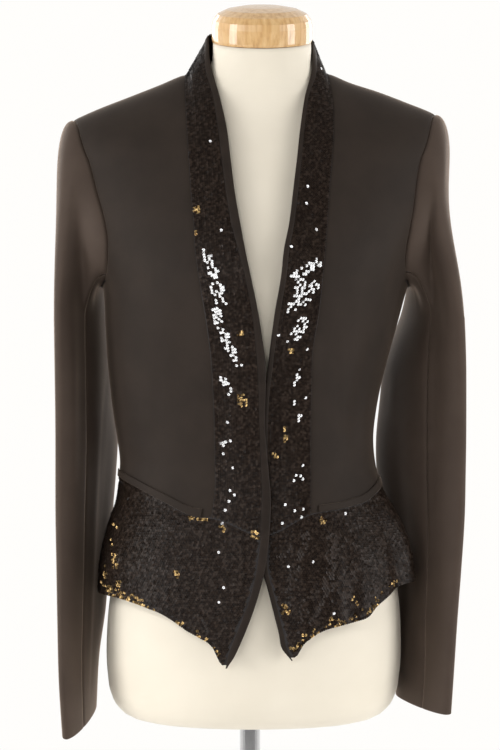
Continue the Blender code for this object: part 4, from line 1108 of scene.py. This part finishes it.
def jersey_material():
    """Cream knitted jersey pulled tight over the form."""
    material = new_material(
        "form_jersey", (0.85, 0.80, 0.70), 0.75, Sheen_Weight=0.2, Sheen_Tint=(1.0, 0.96, 0.9, 1.0)
    )
    place = place_of(material)
    ribs = add_node(material, "ShaderNodeTexWave", place, Scale=260.0, Distortion=0.6, Detail=1.0)
    loops = noise(material, place_of(material, (1.0, 1.0, 0.6)), 1300.0, 2.0)
    tone = noise(material, place, 9.0)
    tint(material, tone, (0.35, (0.725, 0.66, 0.545)), (0.65, (0.765, 0.70, 0.585)))
    bumps(material, (ribs, "Fac", 0.12, 0.0001), (loops, "Fac", 0.25, 0.0001))
    return material


def maple_material():
    """Satin varnished pale wood with upright grain."""
    material = new_material("cap_wood", (0.72, 0.47, 0.24), 0.3, Coat_Weight=0.6, Coat_Roughness=0.12)
    grain = noise(material, place_of(material, (1.0, 1.0, 0.05)), 220.0, 5.0, 0.6)
    broad = noise(material, place_of(material, (1.0, 1.0, 0.08)), 38.0, 2.0)
    stops = ((0.25, (0.42, 0.225, 0.08)), (0.48, (0.60, 0.365, 0.155)), (0.7, (0.70, 0.475, 0.235)))
    tint(material, grain, *stops)
    polish(material, broad, 0.24, 0.4)
    bumps(material, (grain, "Fac", 0.12, 0.0002))
    return material


def chrome_material():
    """Polished chrome with faint wipe marks."""
    material = new_material("stand_chrome", (0.76, 0.76, 0.77), 0.12, Metallic=1.0)
    smear = noise(material, place_of(material, (1.0, 1.0, 0.3)), 45.0, 4.0, 0.6)
    fine = noise(material, place_of(material, (1.0, 1.0, 0.05)), 900.0, 2.0)
    polish(material, smear, 0.06, 0.2)
    bumps(material, (fine, "Fac", 0.03, 0.00002))
    return material


def floor_material():
    material = new_material("pale_floor", (0.86, 0.855, 0.845), 0.6)
    cloud = noise(material, place_of(material), 1.5)
    tint(material, cloud, (0.3, (0.84, 0.835, 0.825)), (0.7, (0.88, 0.875, 0.865)))
    return material


STEP = 3.2  # spacing of the cloth grids


def sewn_steps(length, step=STEP, start_gap=SEAM, end_gap=SEAM):
    """Shares over about this length, short of the neighbours by half a gap at each end."""
    return steps_between(start_gap / 2 / length, 1 - end_gap / 2 / length, length, step)


def settle(piece, node, area):
    """Hangs a piece of cloth on the root body and hides the CAD node that it stands for."""
    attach(piece, "root")
    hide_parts(node)


def dress_fronts(looks):
    for side in (-1, 1):
        name = side_name(side)
        us = sewn_steps(CREPE_WIDTH)
        front = cloth(
            "cloth_front_" + name, front_surface(side), us, sewn_steps(PANEL_HEIGHT), CLOTH,
            (looks["crepe"], looks["lining"]), seams=(0.45, 0.35, 0.3, 0.45), creases=BODY_CREASES,
        )
        strip_us = steps_between(us[4], us[-1], CREPE_WIDTH, STEP)
        strip_vs = steps_between(WAIST_STRIP_START, 0.02, 8.0, 1.2)
        strip = cloth(
            "cloth_waist_strip_" + name, front_surface(side), strip_us, strip_vs, STRIP,
            (looks["crepe"], looks["crepe"]), sink=-(STRIP_LIFT + STRIP), crown=0.2,
        )
        yield front, "front_" + name
        yield strip, "waist_strip_" + name


def dress_backs(looks):
    for side in (-1, 1):
        name = side_name(side)
        back = cloth(
            "cloth_back_" + name, back_surface(side), sewn_steps(PANEL_WIDTH), sewn_steps(PANEL_HEIGHT),
            CLOTH, (looks["crepe"], looks["lining"]), seams=(0.5, 0.35, 0.3, 0.45), creases=BODY_CREASES,
        )
        yield back, "back_" + name


SEQUIN_SINK = 0.5  # the net lies this far inside the CAD's outer face, and the sequins on it reach that face
NET_THICK = 1.0


def band_surface(side):
    whole = edge_surface(side)
    return lambda u, v: whole(u * band_share(side, v), v)


def pointed_strip(side):
    """The strip's surface, narrowing to a blunt point at the tip of the hem."""
    whole = strip_surface(side)
    return lambda u, v: whole(0.5 + (u - 0.5) * (0.35 + 0.65 * ease(STRIP_POINT, -0.93, v)), v)


def net_cloth(node, surface, us, vs, looks):
    """A sequinned piece's net on its lining."""
    slots = (looks["net"], looks["lining"])
    return cloth("cloth_" + node, surface, us, vs, NET_THICK, slots, sink=SEQUIN_SINK)


def dress_bands(looks):
    for side in (-1, 1):
        name = side_name(side)
        us = sewn_steps(BAND_WIDTH, start_gap=-2.6, end_gap=-2.0)
        vs = sewn_steps(PANEL_HEIGHT, end_gap=COLLAR_END_GAP)
        yield net_cloth("band_" + name, band_surface(side), us, vs, looks), "band_" + name
        low = steps_between(STRIP_POINT, -0.001, SKIRT_HEIGHT, STEP)[:-2]
        high = steps_between(0.0005, vs[-1], PANEL_HEIGHT, STEP)[2:]
        strip = cloth(
            "cloth_edge_strip_" + name, pointed_strip(side), sewn_steps(STRIP_WIDTH, 1.0),
            np.concatenate([low, high]), CLOTH, (looks["binding"], looks["binding"]), crown=0.25,
        )
        yield strip, "edge_strip_" + name


def dress_skirts(looks):
    rows = sewn_steps(SKIRT_HEIGHT, end_gap=-3.0)
    for side in (-1, 1):
        node = "skirt_" + side_name(side)
        columns = sewn_steps(PANEL_WIDTH, 2.4, start_gap=-2.6)
        yield net_cloth(node, skirt_surface(side), columns, rows, looks), node
    columns = sewn_steps(SKIRT_BACK_WIDTH, 2.8)
    yield net_cloth("skirt_back", skirt_back_surface, columns, rows, looks), "skirt_back"


def dress_collar(looks):
    us = sewn_steps(COLLAR_LENGTH, STEP, COLLAR_END_GAP * 2, COLLAR_END_GAP * 2)
    vs = steps_between(-0.03, 1.0, 50.0, STEP)
    yield net_cloth("collar", collar_surface, us, vs, looks), "collar"


SEQUIN_RADIUS = 1.65
SEQUIN_HOLE = 0.38
SEQUIN_CUP = 0.1
SEQUIN_SIDES = 8
SEQUIN_PITCH = 2.75  # along a row
ROW_PITCH = 2.35
SEQUIN_LIFT = -0.2  # height of a sequin's middle over the CAD's outer face
ROW_LEAN = 0.14  # how far each sequin leans up, over the row above
NEXT_LEAN = 0.06  # and sideways, over the next in its row
EDGE_ROOM = 1.2  # from the edge of the net to the middle of the nearest sequins
BAND_SEQUINS_END = 0.993  # share of the way up a band where its sequins stop
BROWN_SHARE = 0.3  # share of the sequins that are worn to brown
FRONT_REACH = 110.0  # millimetres to a radian at the front of the skirt
SIDE_REACH = 130.0  # and at its side
# Where two of the lights and the camera are
LAMP = (-550.0, -2300.0, 1750.0)
SOFTBOX = (1900.0, -1600.0, 1500.0)
EYE = (0.0, -2400.0, 900.0)

# Where sequins catch the lamp, as (reach, share, path of (across, height) seen from the front).
WHITE_ZONES = (
    (4.7, 0.4, ((-45, 1028), (-41, 1015))), (6.6, 0.34, ((-38, 1007), (-36, 995), (-30, 978))),
    (5.2, 0.5, ((-35, 966), (-31, 949), (-22, 930))), (3.7, 0.5, ((-19, 926), (-10, 909))),
    (3.3, 0.55, ((-28, 896), (-21, 883))), (4.4, 0.5, ((-26, 830), (-22, 829))),
    (4.7, 0.55, ((46, 1003), (56, 1008), (69, 1016))),
    (5.2, 0.62, ((53, 995), (51, 986), (47, 974), (42, 969))),
    (5.2, 0.45, ((68, 995), (61, 981), (55, 976))), (5.7, 0.6, ((56, 956), (52, 948), (48, 942))),
    (2.1, 0.5, ((51, 904), (46, 889))), (2.3, 0.6, ((53, 859), (50, 851))),
)
# Where bronze sequins do.
GOLD_ZONES = (
    (3.6, 0.9, ((-55, 1073), (-55, 1072))), (2.3, 0.7, ((-57, 1049), (-57, 1048))),
    (4.2, 0.8, ((-10, 877), (-7, 870))), (2.6, 0.6, ((-9, 945), (-10, 942))),
    (3.5, 0.9, ((-61, 752), (-46, 752))), (3.1, 0.7, ((-29, 741), (-28, 738))),
    (3.1, 0.7, ((1, 737), (10, 729))), (3.3, 0.7, ((-77, 694), (-75, 690))),
    (2.7, 0.6, ((-142, 712), (-140, 700))), (3.1, 0.8, ((-137, 684), (-137, 683))),
    (4.4, 0.6, ((-146, 676), (-127, 669), (-112, 664))), (3.1, 0.6, ((43, 926), (44, 924))),
    (2.7, 0.7, ((25, 818), (26, 815))), (2.5, 0.6, ((35, 845), (36, 832))),
    (3.1, 0.6, ((75, 749), (77, 747))), (4.4, 0.7, ((34, 661), (37, 655))),
    (3.3, 0.6, ((106, 668), (112, 660))), (4.2, 0.55, ((84, 645), (97, 639), (108, 645))),
    (3.6, 0.6, ((32, 616), (42, 614))), (3.1, 0.5, ((51, 623), (57, 628), (68, 632))),
    (3.1, 0.35, ((120, 652), (133, 664))),
    (
        2.0, 0.3,
        ((-156, 687), (-143, 674), (-127, 667), (-104, 658), (-83, 647), (-62, 637), (-45, 624), (-26, 603)),
    ),
    (
        2.0, 0.3,
        ((42, 609), (52, 619), (71, 637), (88, 643), (106, 647), (123, 658), (133, 670), (151, 685)),
    ),
    (3.0, 0.1, ((-150, 690), (-146, 720), (-140, 745))),
)
# Where sequins catch a softbox. There they also take the lighter brown colour, a painted highlight over the
# real reflection.
PALE_ZONES = (
    (4.7, 0.6, ((58, 733), (53, 712))), (4.7, 0.45, ((53, 712), (44, 687), (38, 660))),
    (5.7, 0.7, ((86, 730), (84, 708), (81, 678))), (4.7, 0.55, ((112, 701), (108, 687), (98, 668))),
    (2.3, 0.85, ((90, 684), (76, 666), (63, 641))), (4.2, 0.4, ((141, 733), (135, 708), (135, 674))),
    (1.7, 0.9, ((-48, 644), (-44, 631))), (3.1, 0.4, ((44, 720), (29, 708))),
    (5.2, 0.25, ((62, 676), (52, 635))),
)
# Single sequins that catch the lamp
WHITE_DOTS = (
    (-41, 1142), (-29, 1051), (-23, 850), (-28, 819), (-18, 803), (-22, 780), (-16, 774), (-22, 768),
    (-27, 759), (-28, 746), (74, 1218), (60, 1096), (59, 1079), (68, 1050), (44, 1034), (29, 943),
    (38, 935), (59, 927), (58, 876), (45, 874), (46, 869), (56, 807), (48, 796), (52, 795), (56, 792),
    (45, 789), (36, 766), (46, 760), (55, 761), (54, 753), (33, 747), (-32, 715), (-28, 680), (-32, 665),
    (41, 701), (64, 706), (20, 683), (98, 755), (88, 652),
)


def strung(surface, u, v, du, dv, keep, start, pitch=SEQUIN_PITCH):
    """Places at even steps along a row of a surface, where keep allows: points, ways out and ways along."""
    points = surface(u, v)
    across = surface(u + du, v) - surface(u - du, v)
    up = surface(u, v + dv) - surface(u, v - dv)
    normals = np.cross(across, up)
    normals /= np.linalg.norm(normals, axis=-1, keepdims=True)
    normals *= np.sign(np.sum(normals * (points - around_torso(points)), axis=-1, keepdims=True))
    steps = np.linalg.norm(np.diff(points, axis=0), axis=-1)
    run = np.concatenate([[0.0], np.cumsum(steps)])
    at = np.arange(start, run[-1], pitch)
    i = np.clip(np.searchsorted(run, at) - 1, 0, len(run) - 2)
    share = ((at - run[i]) / np.maximum(run[i + 1] - run[i], 1e-9))[:, None]
    found = keep[i] & keep[i + 1]
    along = points[i + 1] - points[i]
    placed = mix(points[i], points[i + 1], share)
    out = mix(normals[i], normals[i + 1], share)
    return placed[found], out[found], along[found]


def unit(vectors):
    return vectors / np.maximum(np.linalg.norm(vectors, axis=-1, keepdims=True), 1e-9)


def seen_from_front(points):
    """Where points stand against the plane through the pole, seen from the camera."""
    near = (points[..., 1] - EYE[1]) / -EYE[1]
    return np.stack([points[..., 0] / near, EYE[2] + (points[..., 2] - EYE[2]) / near], axis=-1)


def in_zones(places, zones, chance):
    """True where a place lies within a zone's path, for the zone's share of them."""
    found = np.zeros(len(places), bool)
    for reach, share, path in zones:
        ends = np.array(path, float)
        for start, end in zip(ends[:-1], ends[1:]):
            way = end - start
            t = np.clip((places - start) @ way / max(way @ way, 1e-9), 0.0, 1.0)
            distance = np.linalg.norm(places - start - t[:, None] * way, axis=-1)
            found |= (distance < reach) & (chance < share)
    return found


def towards(points, light):
    """The way a sequin faces to show a light to the camera."""
    return unit(unit(np.array(light) - points) + unit(np.array(EYE) - points))


def sequin_mesh(name, rows, upright, looks, rng):
    """All of a sheet's sequins in one mesh: small cupped discs, each with a hole, strung in leaning rows."""
    points = np.concatenate([row[0] for row in rows])
    out = unit(np.concatenate([row[1] for row in rows]))
    along = unit(np.concatenate([row[2] for row in rows]))
    count = len(points)
    rise = np.zeros((count, 3))
    rise[:, 2] = 1.0
    up = unit(rise - out * np.sum(rise * out, axis=-1, keepdims=True))
    aside = np.cross(out, up)
    lean, skew = (NEXT_LEAN, ROW_LEAN) if upright else (ROW_LEAN, NEXT_LEAN)
    wobble = rng.normal(0.0, 1.0, (count, 2)) * np.where(rng.random(count) < 0.1, 0.2, 0.05)[:, None]
    face = out + up * (lean + wobble[:, :1]) + aside * (skew + wobble[:, 1:])
    places = seen_from_front(points)
    chance = rng.random(count)
    shown = points[:, 1] < 0
    white = in_zones(places, WHITE_ZONES, chance) & shown
    gold = in_zones(places, GOLD_ZONES, chance) & shown & ~white
    pale = in_zones(places, PALE_ZONES, chance) & shown & ~white & ~gold
    for dot in WHITE_DOTS:
        distance = np.linalg.norm(places - np.array(dot, float), axis=-1) + np.where(shown, 0.0, 1e6)
        nearest = int(np.argmin(distance))
        if distance[nearest] < 2.5:
            white[nearest] = True
    close = rng.normal(0.0, 0.018, (count, 3))
    face[white] = towards(points[white], LAMP) + 0.7 * close[white]
    face[gold] = towards(points[gold], LAMP) + 7.0 * close[gold]
    face[pale] = towards(points[pale], SOFTBOX) + 2.5 * close[pale]
    face = unit(face)
    spin = rng.random(count) * 2 * math.pi
    side = unit(np.cross(face, up) + 1e-6)
    over = np.cross(side, face)
    turn = np.arange(SEQUIN_SIDES) * 2 * math.pi / SEQUIN_SIDES
    turns = spin[:, None] + turn
    ring = side[:, None] * np.cos(turns)[..., None] + over[:, None] * np.sin(turns)[..., None]
    middle = (points + out * (SEQUIN_LIFT + rng.normal(0.0, 0.04, (count, 1))))[:, None]
    size = (SEQUIN_RADIUS * rng.uniform(0.96, 1.04, count))[:, None, None]
    inner = middle + ring * SEQUIN_HOLE
    cup = np.where(white, 0.0, np.where(gold, 0.4, 1.0)) * SEQUIN_CUP
    outer = middle + ring * size + face[:, None] * cup[:, None, None]
    vertices = np.concatenate([inner, outer], axis=1).reshape(-1, 3)
    first = (np.arange(count) * 2 * SEQUIN_SIDES)[:, None]
    j = np.arange(SEQUIN_SIDES)
    k = (j + 1) % SEQUIN_SIDES
    faces = np.stack([first + j, first + SEQUIN_SIDES + j, first + SEQUIN_SIDES + k, first + k], axis=-1)
    kinds = np.zeros(count, int)
    kinds[rng.random(count) < BROWN_SHARE] = 1
    kinds[gold] = 2
    # Sequins in the pale zones take the lighter brown colour. This is a painted highlight on top of their
    # real reflection of the softbox.
    kinds[pale] = 1
    kinds[white] = 3
    obj = make_object(
        name, vertices, faces.reshape(-1, 4),
        [looks["sequin"], looks["worn_and_painted_sheen_sequin"], looks["bronze_sequin"], looks["polished_sequin"]],
        np.repeat(kinds, SEQUIN_SIDES),
    )
    obj.data.shade_flat()
    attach(obj, "root")
    return obj


def chart_rows(surface, inside, low, high, start, end, hem, waist):
    """Level rows on a skirt's surface of (angle, height), kept where inside says, and then its edge rows."""
    rows = []
    angles = np.linspace(start, end, 500)
    heights = np.arange(low, high, ROW_PITCH)
    for i, height in enumerate(heights):
        z = height + 0.9 * np.sin(3.1 * angles + 0.35 * i) + 0.5 * np.sin(9.0 * angles + 1.7)
        keep = inside(angles, z, EDGE_ROOM + 1.9)
        rows.append(strung(surface, angles, z, 2e-3, 0.5, keep, (i % 2) * SEQUIN_PITCH / 2 + 0.4))
    for edge, room in ((hem, EDGE_ROOM), (waist, -1.5 * EDGE_ROOM)):
        z = edge(angles) + room
        rows.append(strung(surface, angles, z, 2e-3, 0.5, inside(angles, z, EDGE_ROOM * 0.8), 0.9, 2.3))
    return rows


def skirt_sequins(side):
    waist_z = POINT[side]["z"][-1]
    seam = side * math.pi / 2
    start = float(angle_of(POINT[side]["strip"][-1], waist_z)) - side * 0.4

    def surface(angle, z):
        return with_lap(torso(angle, level_at(angle, z)), side)

    def near_strip(angle, z):
        edge = angle_of(read(POINT[side], "strip", np.minimum(z, waist_z)), z)
        return side * (angle - edge) * FRONT_REACH

    def hem(angle):
        z = hem_height(side, angle)
        return mix(inner_height(side, 0.0), z, ease(-2.0, 8.0, near_strip(angle, z)))

    def waist(angle):
        return waist_height(side, angle)

    def inside(angle, z, room):
        clear = (z > hem(angle) + room) & (z < waist(angle) - room * 0.9)
        return clear & (near_strip(angle, z) > EDGE_ROOM) & (side * (seam - angle) * SIDE_REACH > 0.8)

    return chart_rows(surface, inside, 605.0, 790.0, start, seam, hem, waist)


def skirt_back_sequins():
    start, end = -math.pi / 2, -1.5 * math.pi

    def surface(angle, z):
        return torso(angle, level_at(angle, z))

    def hem(angle):
        return either_side(hem_height, angle)

    def waist(angle):
        return either_side(waist_height, angle)

    def inside(angle, z, room):
        ends = (angle < start - 0.008) & (angle > end + 0.008)
        return (z > hem(angle) + room) & (z < waist(angle) - room * 0.9) & ends

    return chart_rows(surface, inside, 640.0, 800.0, start, end, hem, waist)


def band_sequins(side):
    whole = edge_surface(side)
    rows = []
    v = np.linspace(0.004, 1.0, 700)
    wool = whole(0 * v, v)
    end = whole(band_share(side, v), v)
    width = np.linalg.norm(end - wool, axis=-1)
    count = int(width.max() / ROW_PITCH) + 1
    for i in range(count):
        reach = EDGE_ROOM + i * ROW_PITCH
        u = band_share(side, v) * np.minimum(reach / width, 1.1)
        keep = (reach < width - EDGE_ROOM - 0.9) & (v < BAND_SEQUINS_END)
        rows.append(strung(whole, u, v, 5e-3, 1e-3, keep, (i % 2) * SEQUIN_PITCH / 2 + 0.5))
    u = band_share(side, v) * (1 - EDGE_ROOM / width)
    rows.append(strung(whole, u, v, 5e-3, 1e-3, v < BAND_SEQUINS_END, 0.6, 2.5))
    return rows


def collar_sequins():
    rows = []
    u = np.linspace(0.008, 0.992, 500)
    heights = np.linspace(0.05, 0.975, 20)
    for i, v in enumerate(heights):
        start = (i % 2) * SEQUIN_PITCH / 2 + 0.4
        rows.append(strung(collar_surface, u, np.full(u.shape, v), 2e-3, 5e-3, np.ones(u.shape, bool), start))
    return rows


def sequin_sheets(looks):
    """The sequins of each sequinned piece, by the node that they cover."""
    sheets = []
    for side in (-1, 1):
        sheets.append(("skirt_" + side_name(side), skirt_sequins(side), False))
        sheets.append(("band_" + side_name(side), band_sequins(side), True))
    sheets += [("skirt_back", skirt_back_sequins(), False), ("collar", collar_sequins(), False)]
    rng = np.random.default_rng(SEED)
    return {node: sequin_mesh("sequins_" + node, rows, tall, looks, rng) for node, rows, tall in sheets}


def dress_sleeves(looks):
    front_turn = FRONT_SLEEVE_SEAM + SLEEVE_SEAM_GAP
    back_turn = BACK_SLEEVE_SEAM - SLEEVE_SEAM_GAP
    spans = {
        "top": (front_turn, back_turn),
        "under": (BACK_SLEEVE_SEAM + SLEEVE_SEAM_GAP, FRONT_SLEEVE_SEAM + 360 - SLEEVE_SEAM_GAP),
    }
    for side in (-1, 1):
        name = side_name(side)
        vs = steps_between(0.0, 1.009, 640.0, STEP)
        for piece, (start, end) in spans.items():
            turns = steps_between(start, end, (end - start) * 0.85, STEP)
            # The sleeves take the lighter copy of the crepe, which has their light painted into its colour.
            sleeve = cloth(
                f"cloth_sleeve_{piece}_{name}", sleeve_surface(side), turns, vs, CLOTH,
                (looks["sleeve_crepe_painted_lighter"], looks["lining"]), around_sleeve(side), seams=(0.5, 0.5, 0.0, 1.4),
                creases=SLEEVE_CREASES,
            )
            yield sleeve, f"sleeve_{piece}_{name}"


def form_ring(z, mid, half, front, back, pinch, tilt):
    """A ring of the form. A pinch above 1 narrows it towards its sides, and tilt lowers its front."""
    turn = np.arange(FORM_SIDES) * 2 * math.pi / FORM_SIDES
    cosine = np.cos(turn)
    depth = np.where(cosine > 0, -front, back) * np.abs(cosine) ** pinch
    x = mid + half * np.sin(turn)
    return np.stack([x, depth, z + tilt * (depth - CAP_CENTRE[1])], axis=-1)


def turned(name, rings, materials):
    """A closed body through rings of the same count, lowest first, with a fan at each end."""
    count = len(rings[0])
    points = np.concatenate(rings + [rings[0].mean(0, keepdims=True), rings[-1].mean(0, keepdims=True)])
    faces = []
    for i in range(len(rings) - 1):
        for j in range(count):
            a = i * count + j
            b = i * count + (j + 1) % count
            faces.append((a, b, b + count, a + count))
    low = len(rings) * count
    for j in range(0, count, 2):
        a, b, c = j, (j + 1) % count, (j + 2) % count
        faces.append((low, c, b, a))
        top = (len(rings) - 1) * count
        faces.append((low + 1, top + a, top + b, top + c))
    return make_object(name, points, faces, materials)


def dress_form(looks):
    keys = FORM["z"]
    names = list(FORM)[1:]
    rings = []
    for z in sorted(set(np.linspace(keys[0], keys[-1], 150)) | set(keys)):
        rings.append(form_ring(z, *(float(read(FORM, name, z)) for name in names)))
    cover = turned("form_cover", rings, [looks["jersey"]])
    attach(cover, "root")
    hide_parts("form_torso")
    for node, look in (("form_cap", "maple"), ("form_pole", "chrome"), ("form_base", "chrome")):
        for slot in frame["nodes"][node].material_slots:
            slot.material = looks[look]


# What shows of each sheet's cut, in metres and square metres: (width, length, area).
CUTS = {
    "front_right": (0.171, 0.503, 0.061), "front_left": (0.161, 0.501, 0.0545),
    "waist_strip_right": (0.15, 0.01, 0.0011), "waist_strip_left": (0.129, 0.01, 0.0009),
    "back_right": (0.225, 0.465, 0.080), "back_left": (0.217, 0.465, 0.079),
    "band_right": (0.054, 0.554, 0.0213), "band_left": (0.050, 0.544, 0.0187),
    "edge_strip_right": (0.010, 0.697, 0.0053), "edge_strip_left": (0.010, 0.679, 0.0035),
    "skirt_right": (0.223, 0.132, 0.0247), "skirt_left": (0.218, 0.123, 0.0218),
    "skirt_back": (0.46, 0.134, 0.0515), "collar": (0.198, 0.071, 0.0109),
    "sleeve_top_right": (0.333, 0.651, 0.094), "sleeve_under_right": (0.128, 0.512, 0.0495),
    "sleeve_top_left": (0.337, 0.637, 0.0935), "sleeve_under_left": (0.132, 0.507, 0.0495),
}


FLOOR_RADIUS = 2600
FLOOR_SIDES = 96


def set_stage(looks):
    turn = np.arange(FLOOR_SIDES) * 2 * math.pi / FLOOR_SIDES
    ring = FLOOR_RADIUS * np.stack([np.cos(turn), np.sin(turn), 0 * turn], axis=-1)
    points = np.concatenate([ring, [[0, 0, 0]]])
    faces = [(FLOOR_SIDES, j, j + 1, (j + 2) % FLOOR_SIDES) for j in range(0, FLOOR_SIDES, 2)]
    floor = make_object("floor", points, faces, [looks["floor"]])


def add_light(name, place, target_z, size, power):
    data = bpy.data.lights.new(name, "AREA")
    data.shape = "RECTANGLE"
    data.size, data.size_y = size
    data.energy = power
    light = bpy.data.objects.new(name, data)
    bpy.context.scene.collection.objects.link(light)
    light.location = place
    light.rotation_euler = (Vector((0, 0, target_z)) - Vector(place)).to_track_quat("-Z", "Y").to_euler()
    light.visible_camera = False


def add_world():
    """A bright surround behind the object and a dimmer room in front, with a white view of both."""
    world = bpy.data.worlds.new("studio")
    bpy.context.scene.world = world
    world.use_nodes = True
    background = world.node_tree.nodes["Background"]
    background.inputs["Color"].default_value = (1.0, 0.99, 0.97, 1.0)
    split = add_node(world, "ShaderNodeSeparateXYZ")
    join(world, add_node(world, "ShaderNodeTexCoord"), "Generated", split, "Vector")
    depth = add_node(world, "ShaderNodeMapRange", From_Min=-0.6, From_Max=0.6, To_Min=0.2, To_Max=0.95)
    join(world, split, "Y", depth, "Value")
    blend = add_node(world, "ShaderNodeMix")
    blend.inputs[3].default_value = 1.0
    join(world, add_node(world, "ShaderNodeLightPath"), "Is Camera Ray", blend, 0)
    join(world, depth, "Result", blend, 2)
    join(world, blend, 0, background, "Strength")


def add_camera():
    data = bpy.data.cameras.new("camera")
    data.sensor_width = 36.0
    data.lens = 110.77
    data.clip_end = 100.0
    camera = bpy.data.objects.new("camera", data)
    bpy.context.scene.collection.objects.link(camera)
    camera.location = (0.0, -2.4, 0.9)
    camera.rotation_euler = (math.pi / 2, 0.0, 0.0)
    bpy.context.scene.camera = camera


# Lights: name, place, height aimed at, width and height, power
LIGHTS = (
    ("soft_left", (-1.7, -1.9, 1.7), 0.95, (1.2, 1.6), 14.0),
    ("soft_right", (1.9, -1.6, 1.5), 0.95, (1.2, 1.6), 8.0),
    ("key", (-0.55, -2.3, 1.75), 0.95, (0.32, 0.32), 8.0),
    ("side_left", (-2.3, -0.9, 1.3), 0.95, (0.9, 1.8), 42.0),
    ("side_right", (2.3, -0.9, 1.3), 0.95, (0.9, 1.8), 36.0),
    ("back_left", (-1.6, 1.9, 1.8), 1.0, (1.2, 1.6), 22.0),
    ("back_right", (1.6, 1.9, 1.6), 1.0, (1.2, 1.6), 20.0),
)


def build():
    looks = {
        "crepe": crepe_material("crepe_cloth", (0.0172, 0.0112, 0.0076), (0.0225, 0.0150, 0.0105), 0.45),
        # The sleeves' crepe is the body's crepe with its colour painted about two and a half times lighter.
        # This is painted light for the light that the sleeves' outer faces catch.
        "sleeve_crepe_painted_lighter": crepe_material("crepe_sleeve_painted_lighter", (0.055, 0.0378, 0.0283), (0.064, 0.0445, 0.0335), 1.0),
        "lining": lining_material(),
        "binding": binding_material(),
        "net": net_material(),
        "sequin": sequin_material(
            "sequin_black", (0.010, 0.0066, 0.005), 0.34, (0.38, (0.0085, 0.0054, 0.0038)),
            (0.62, (0.022, 0.0145, 0.0105)), (0.26, 0.46), Specular_IOR_Level=0.06,
        ),
        "worn_and_painted_sheen_sequin": sequin_material(
            "sequin_worn_and_painted_sheen", (0.034, 0.024, 0.019), 0.38, (0.38, (0.016, 0.0102, 0.0070)),
            (0.62, (0.034, 0.0225, 0.0165)), (0.26, 0.46), Specular_IOR_Level=0.11,
        ),
        "bronze_sequin": sequin_material(
            "sequin_bronze", (0.4, 0.21, 0.06), 0.3, (0.4, (0.05, 0.026, 0.01)),
            (0.6, (0.46, 0.31, 0.13)), (0.2, 0.4), Metallic=1.0,
        ),
        "polished_sequin": sequin_material(
            "sequin_polished", (0.02, 0.016, 0.015), 0.14, (0.38, (0.012, 0.009, 0.0085)),
            (0.62, (0.032, 0.025, 0.023)), (0.1, 0.18), scuffed=False, Specular_IOR_Level=0.75,
        ),
        "jersey": jersey_material(),
        "maple": maple_material(),
        "chrome": chrome_material(),
        "floor": floor_material(),
    }
    made = []
    for dress in (dress_fronts, dress_backs, dress_bands, dress_skirts, dress_collar, dress_sleeves):
        made.extend(dress(looks))
    sequins = sequin_sheets(looks)
    for piece, node in made:
        width, length, area = CUTS[node]
        settle(piece, node, area)
    dress_form(looks)
    set_stage(looks)
    for light in LIGHTS:
        add_light(*light)
    add_world()
    add_camera()
    bpy.context.scene.view_settings.view_transform = "Standard"


build()
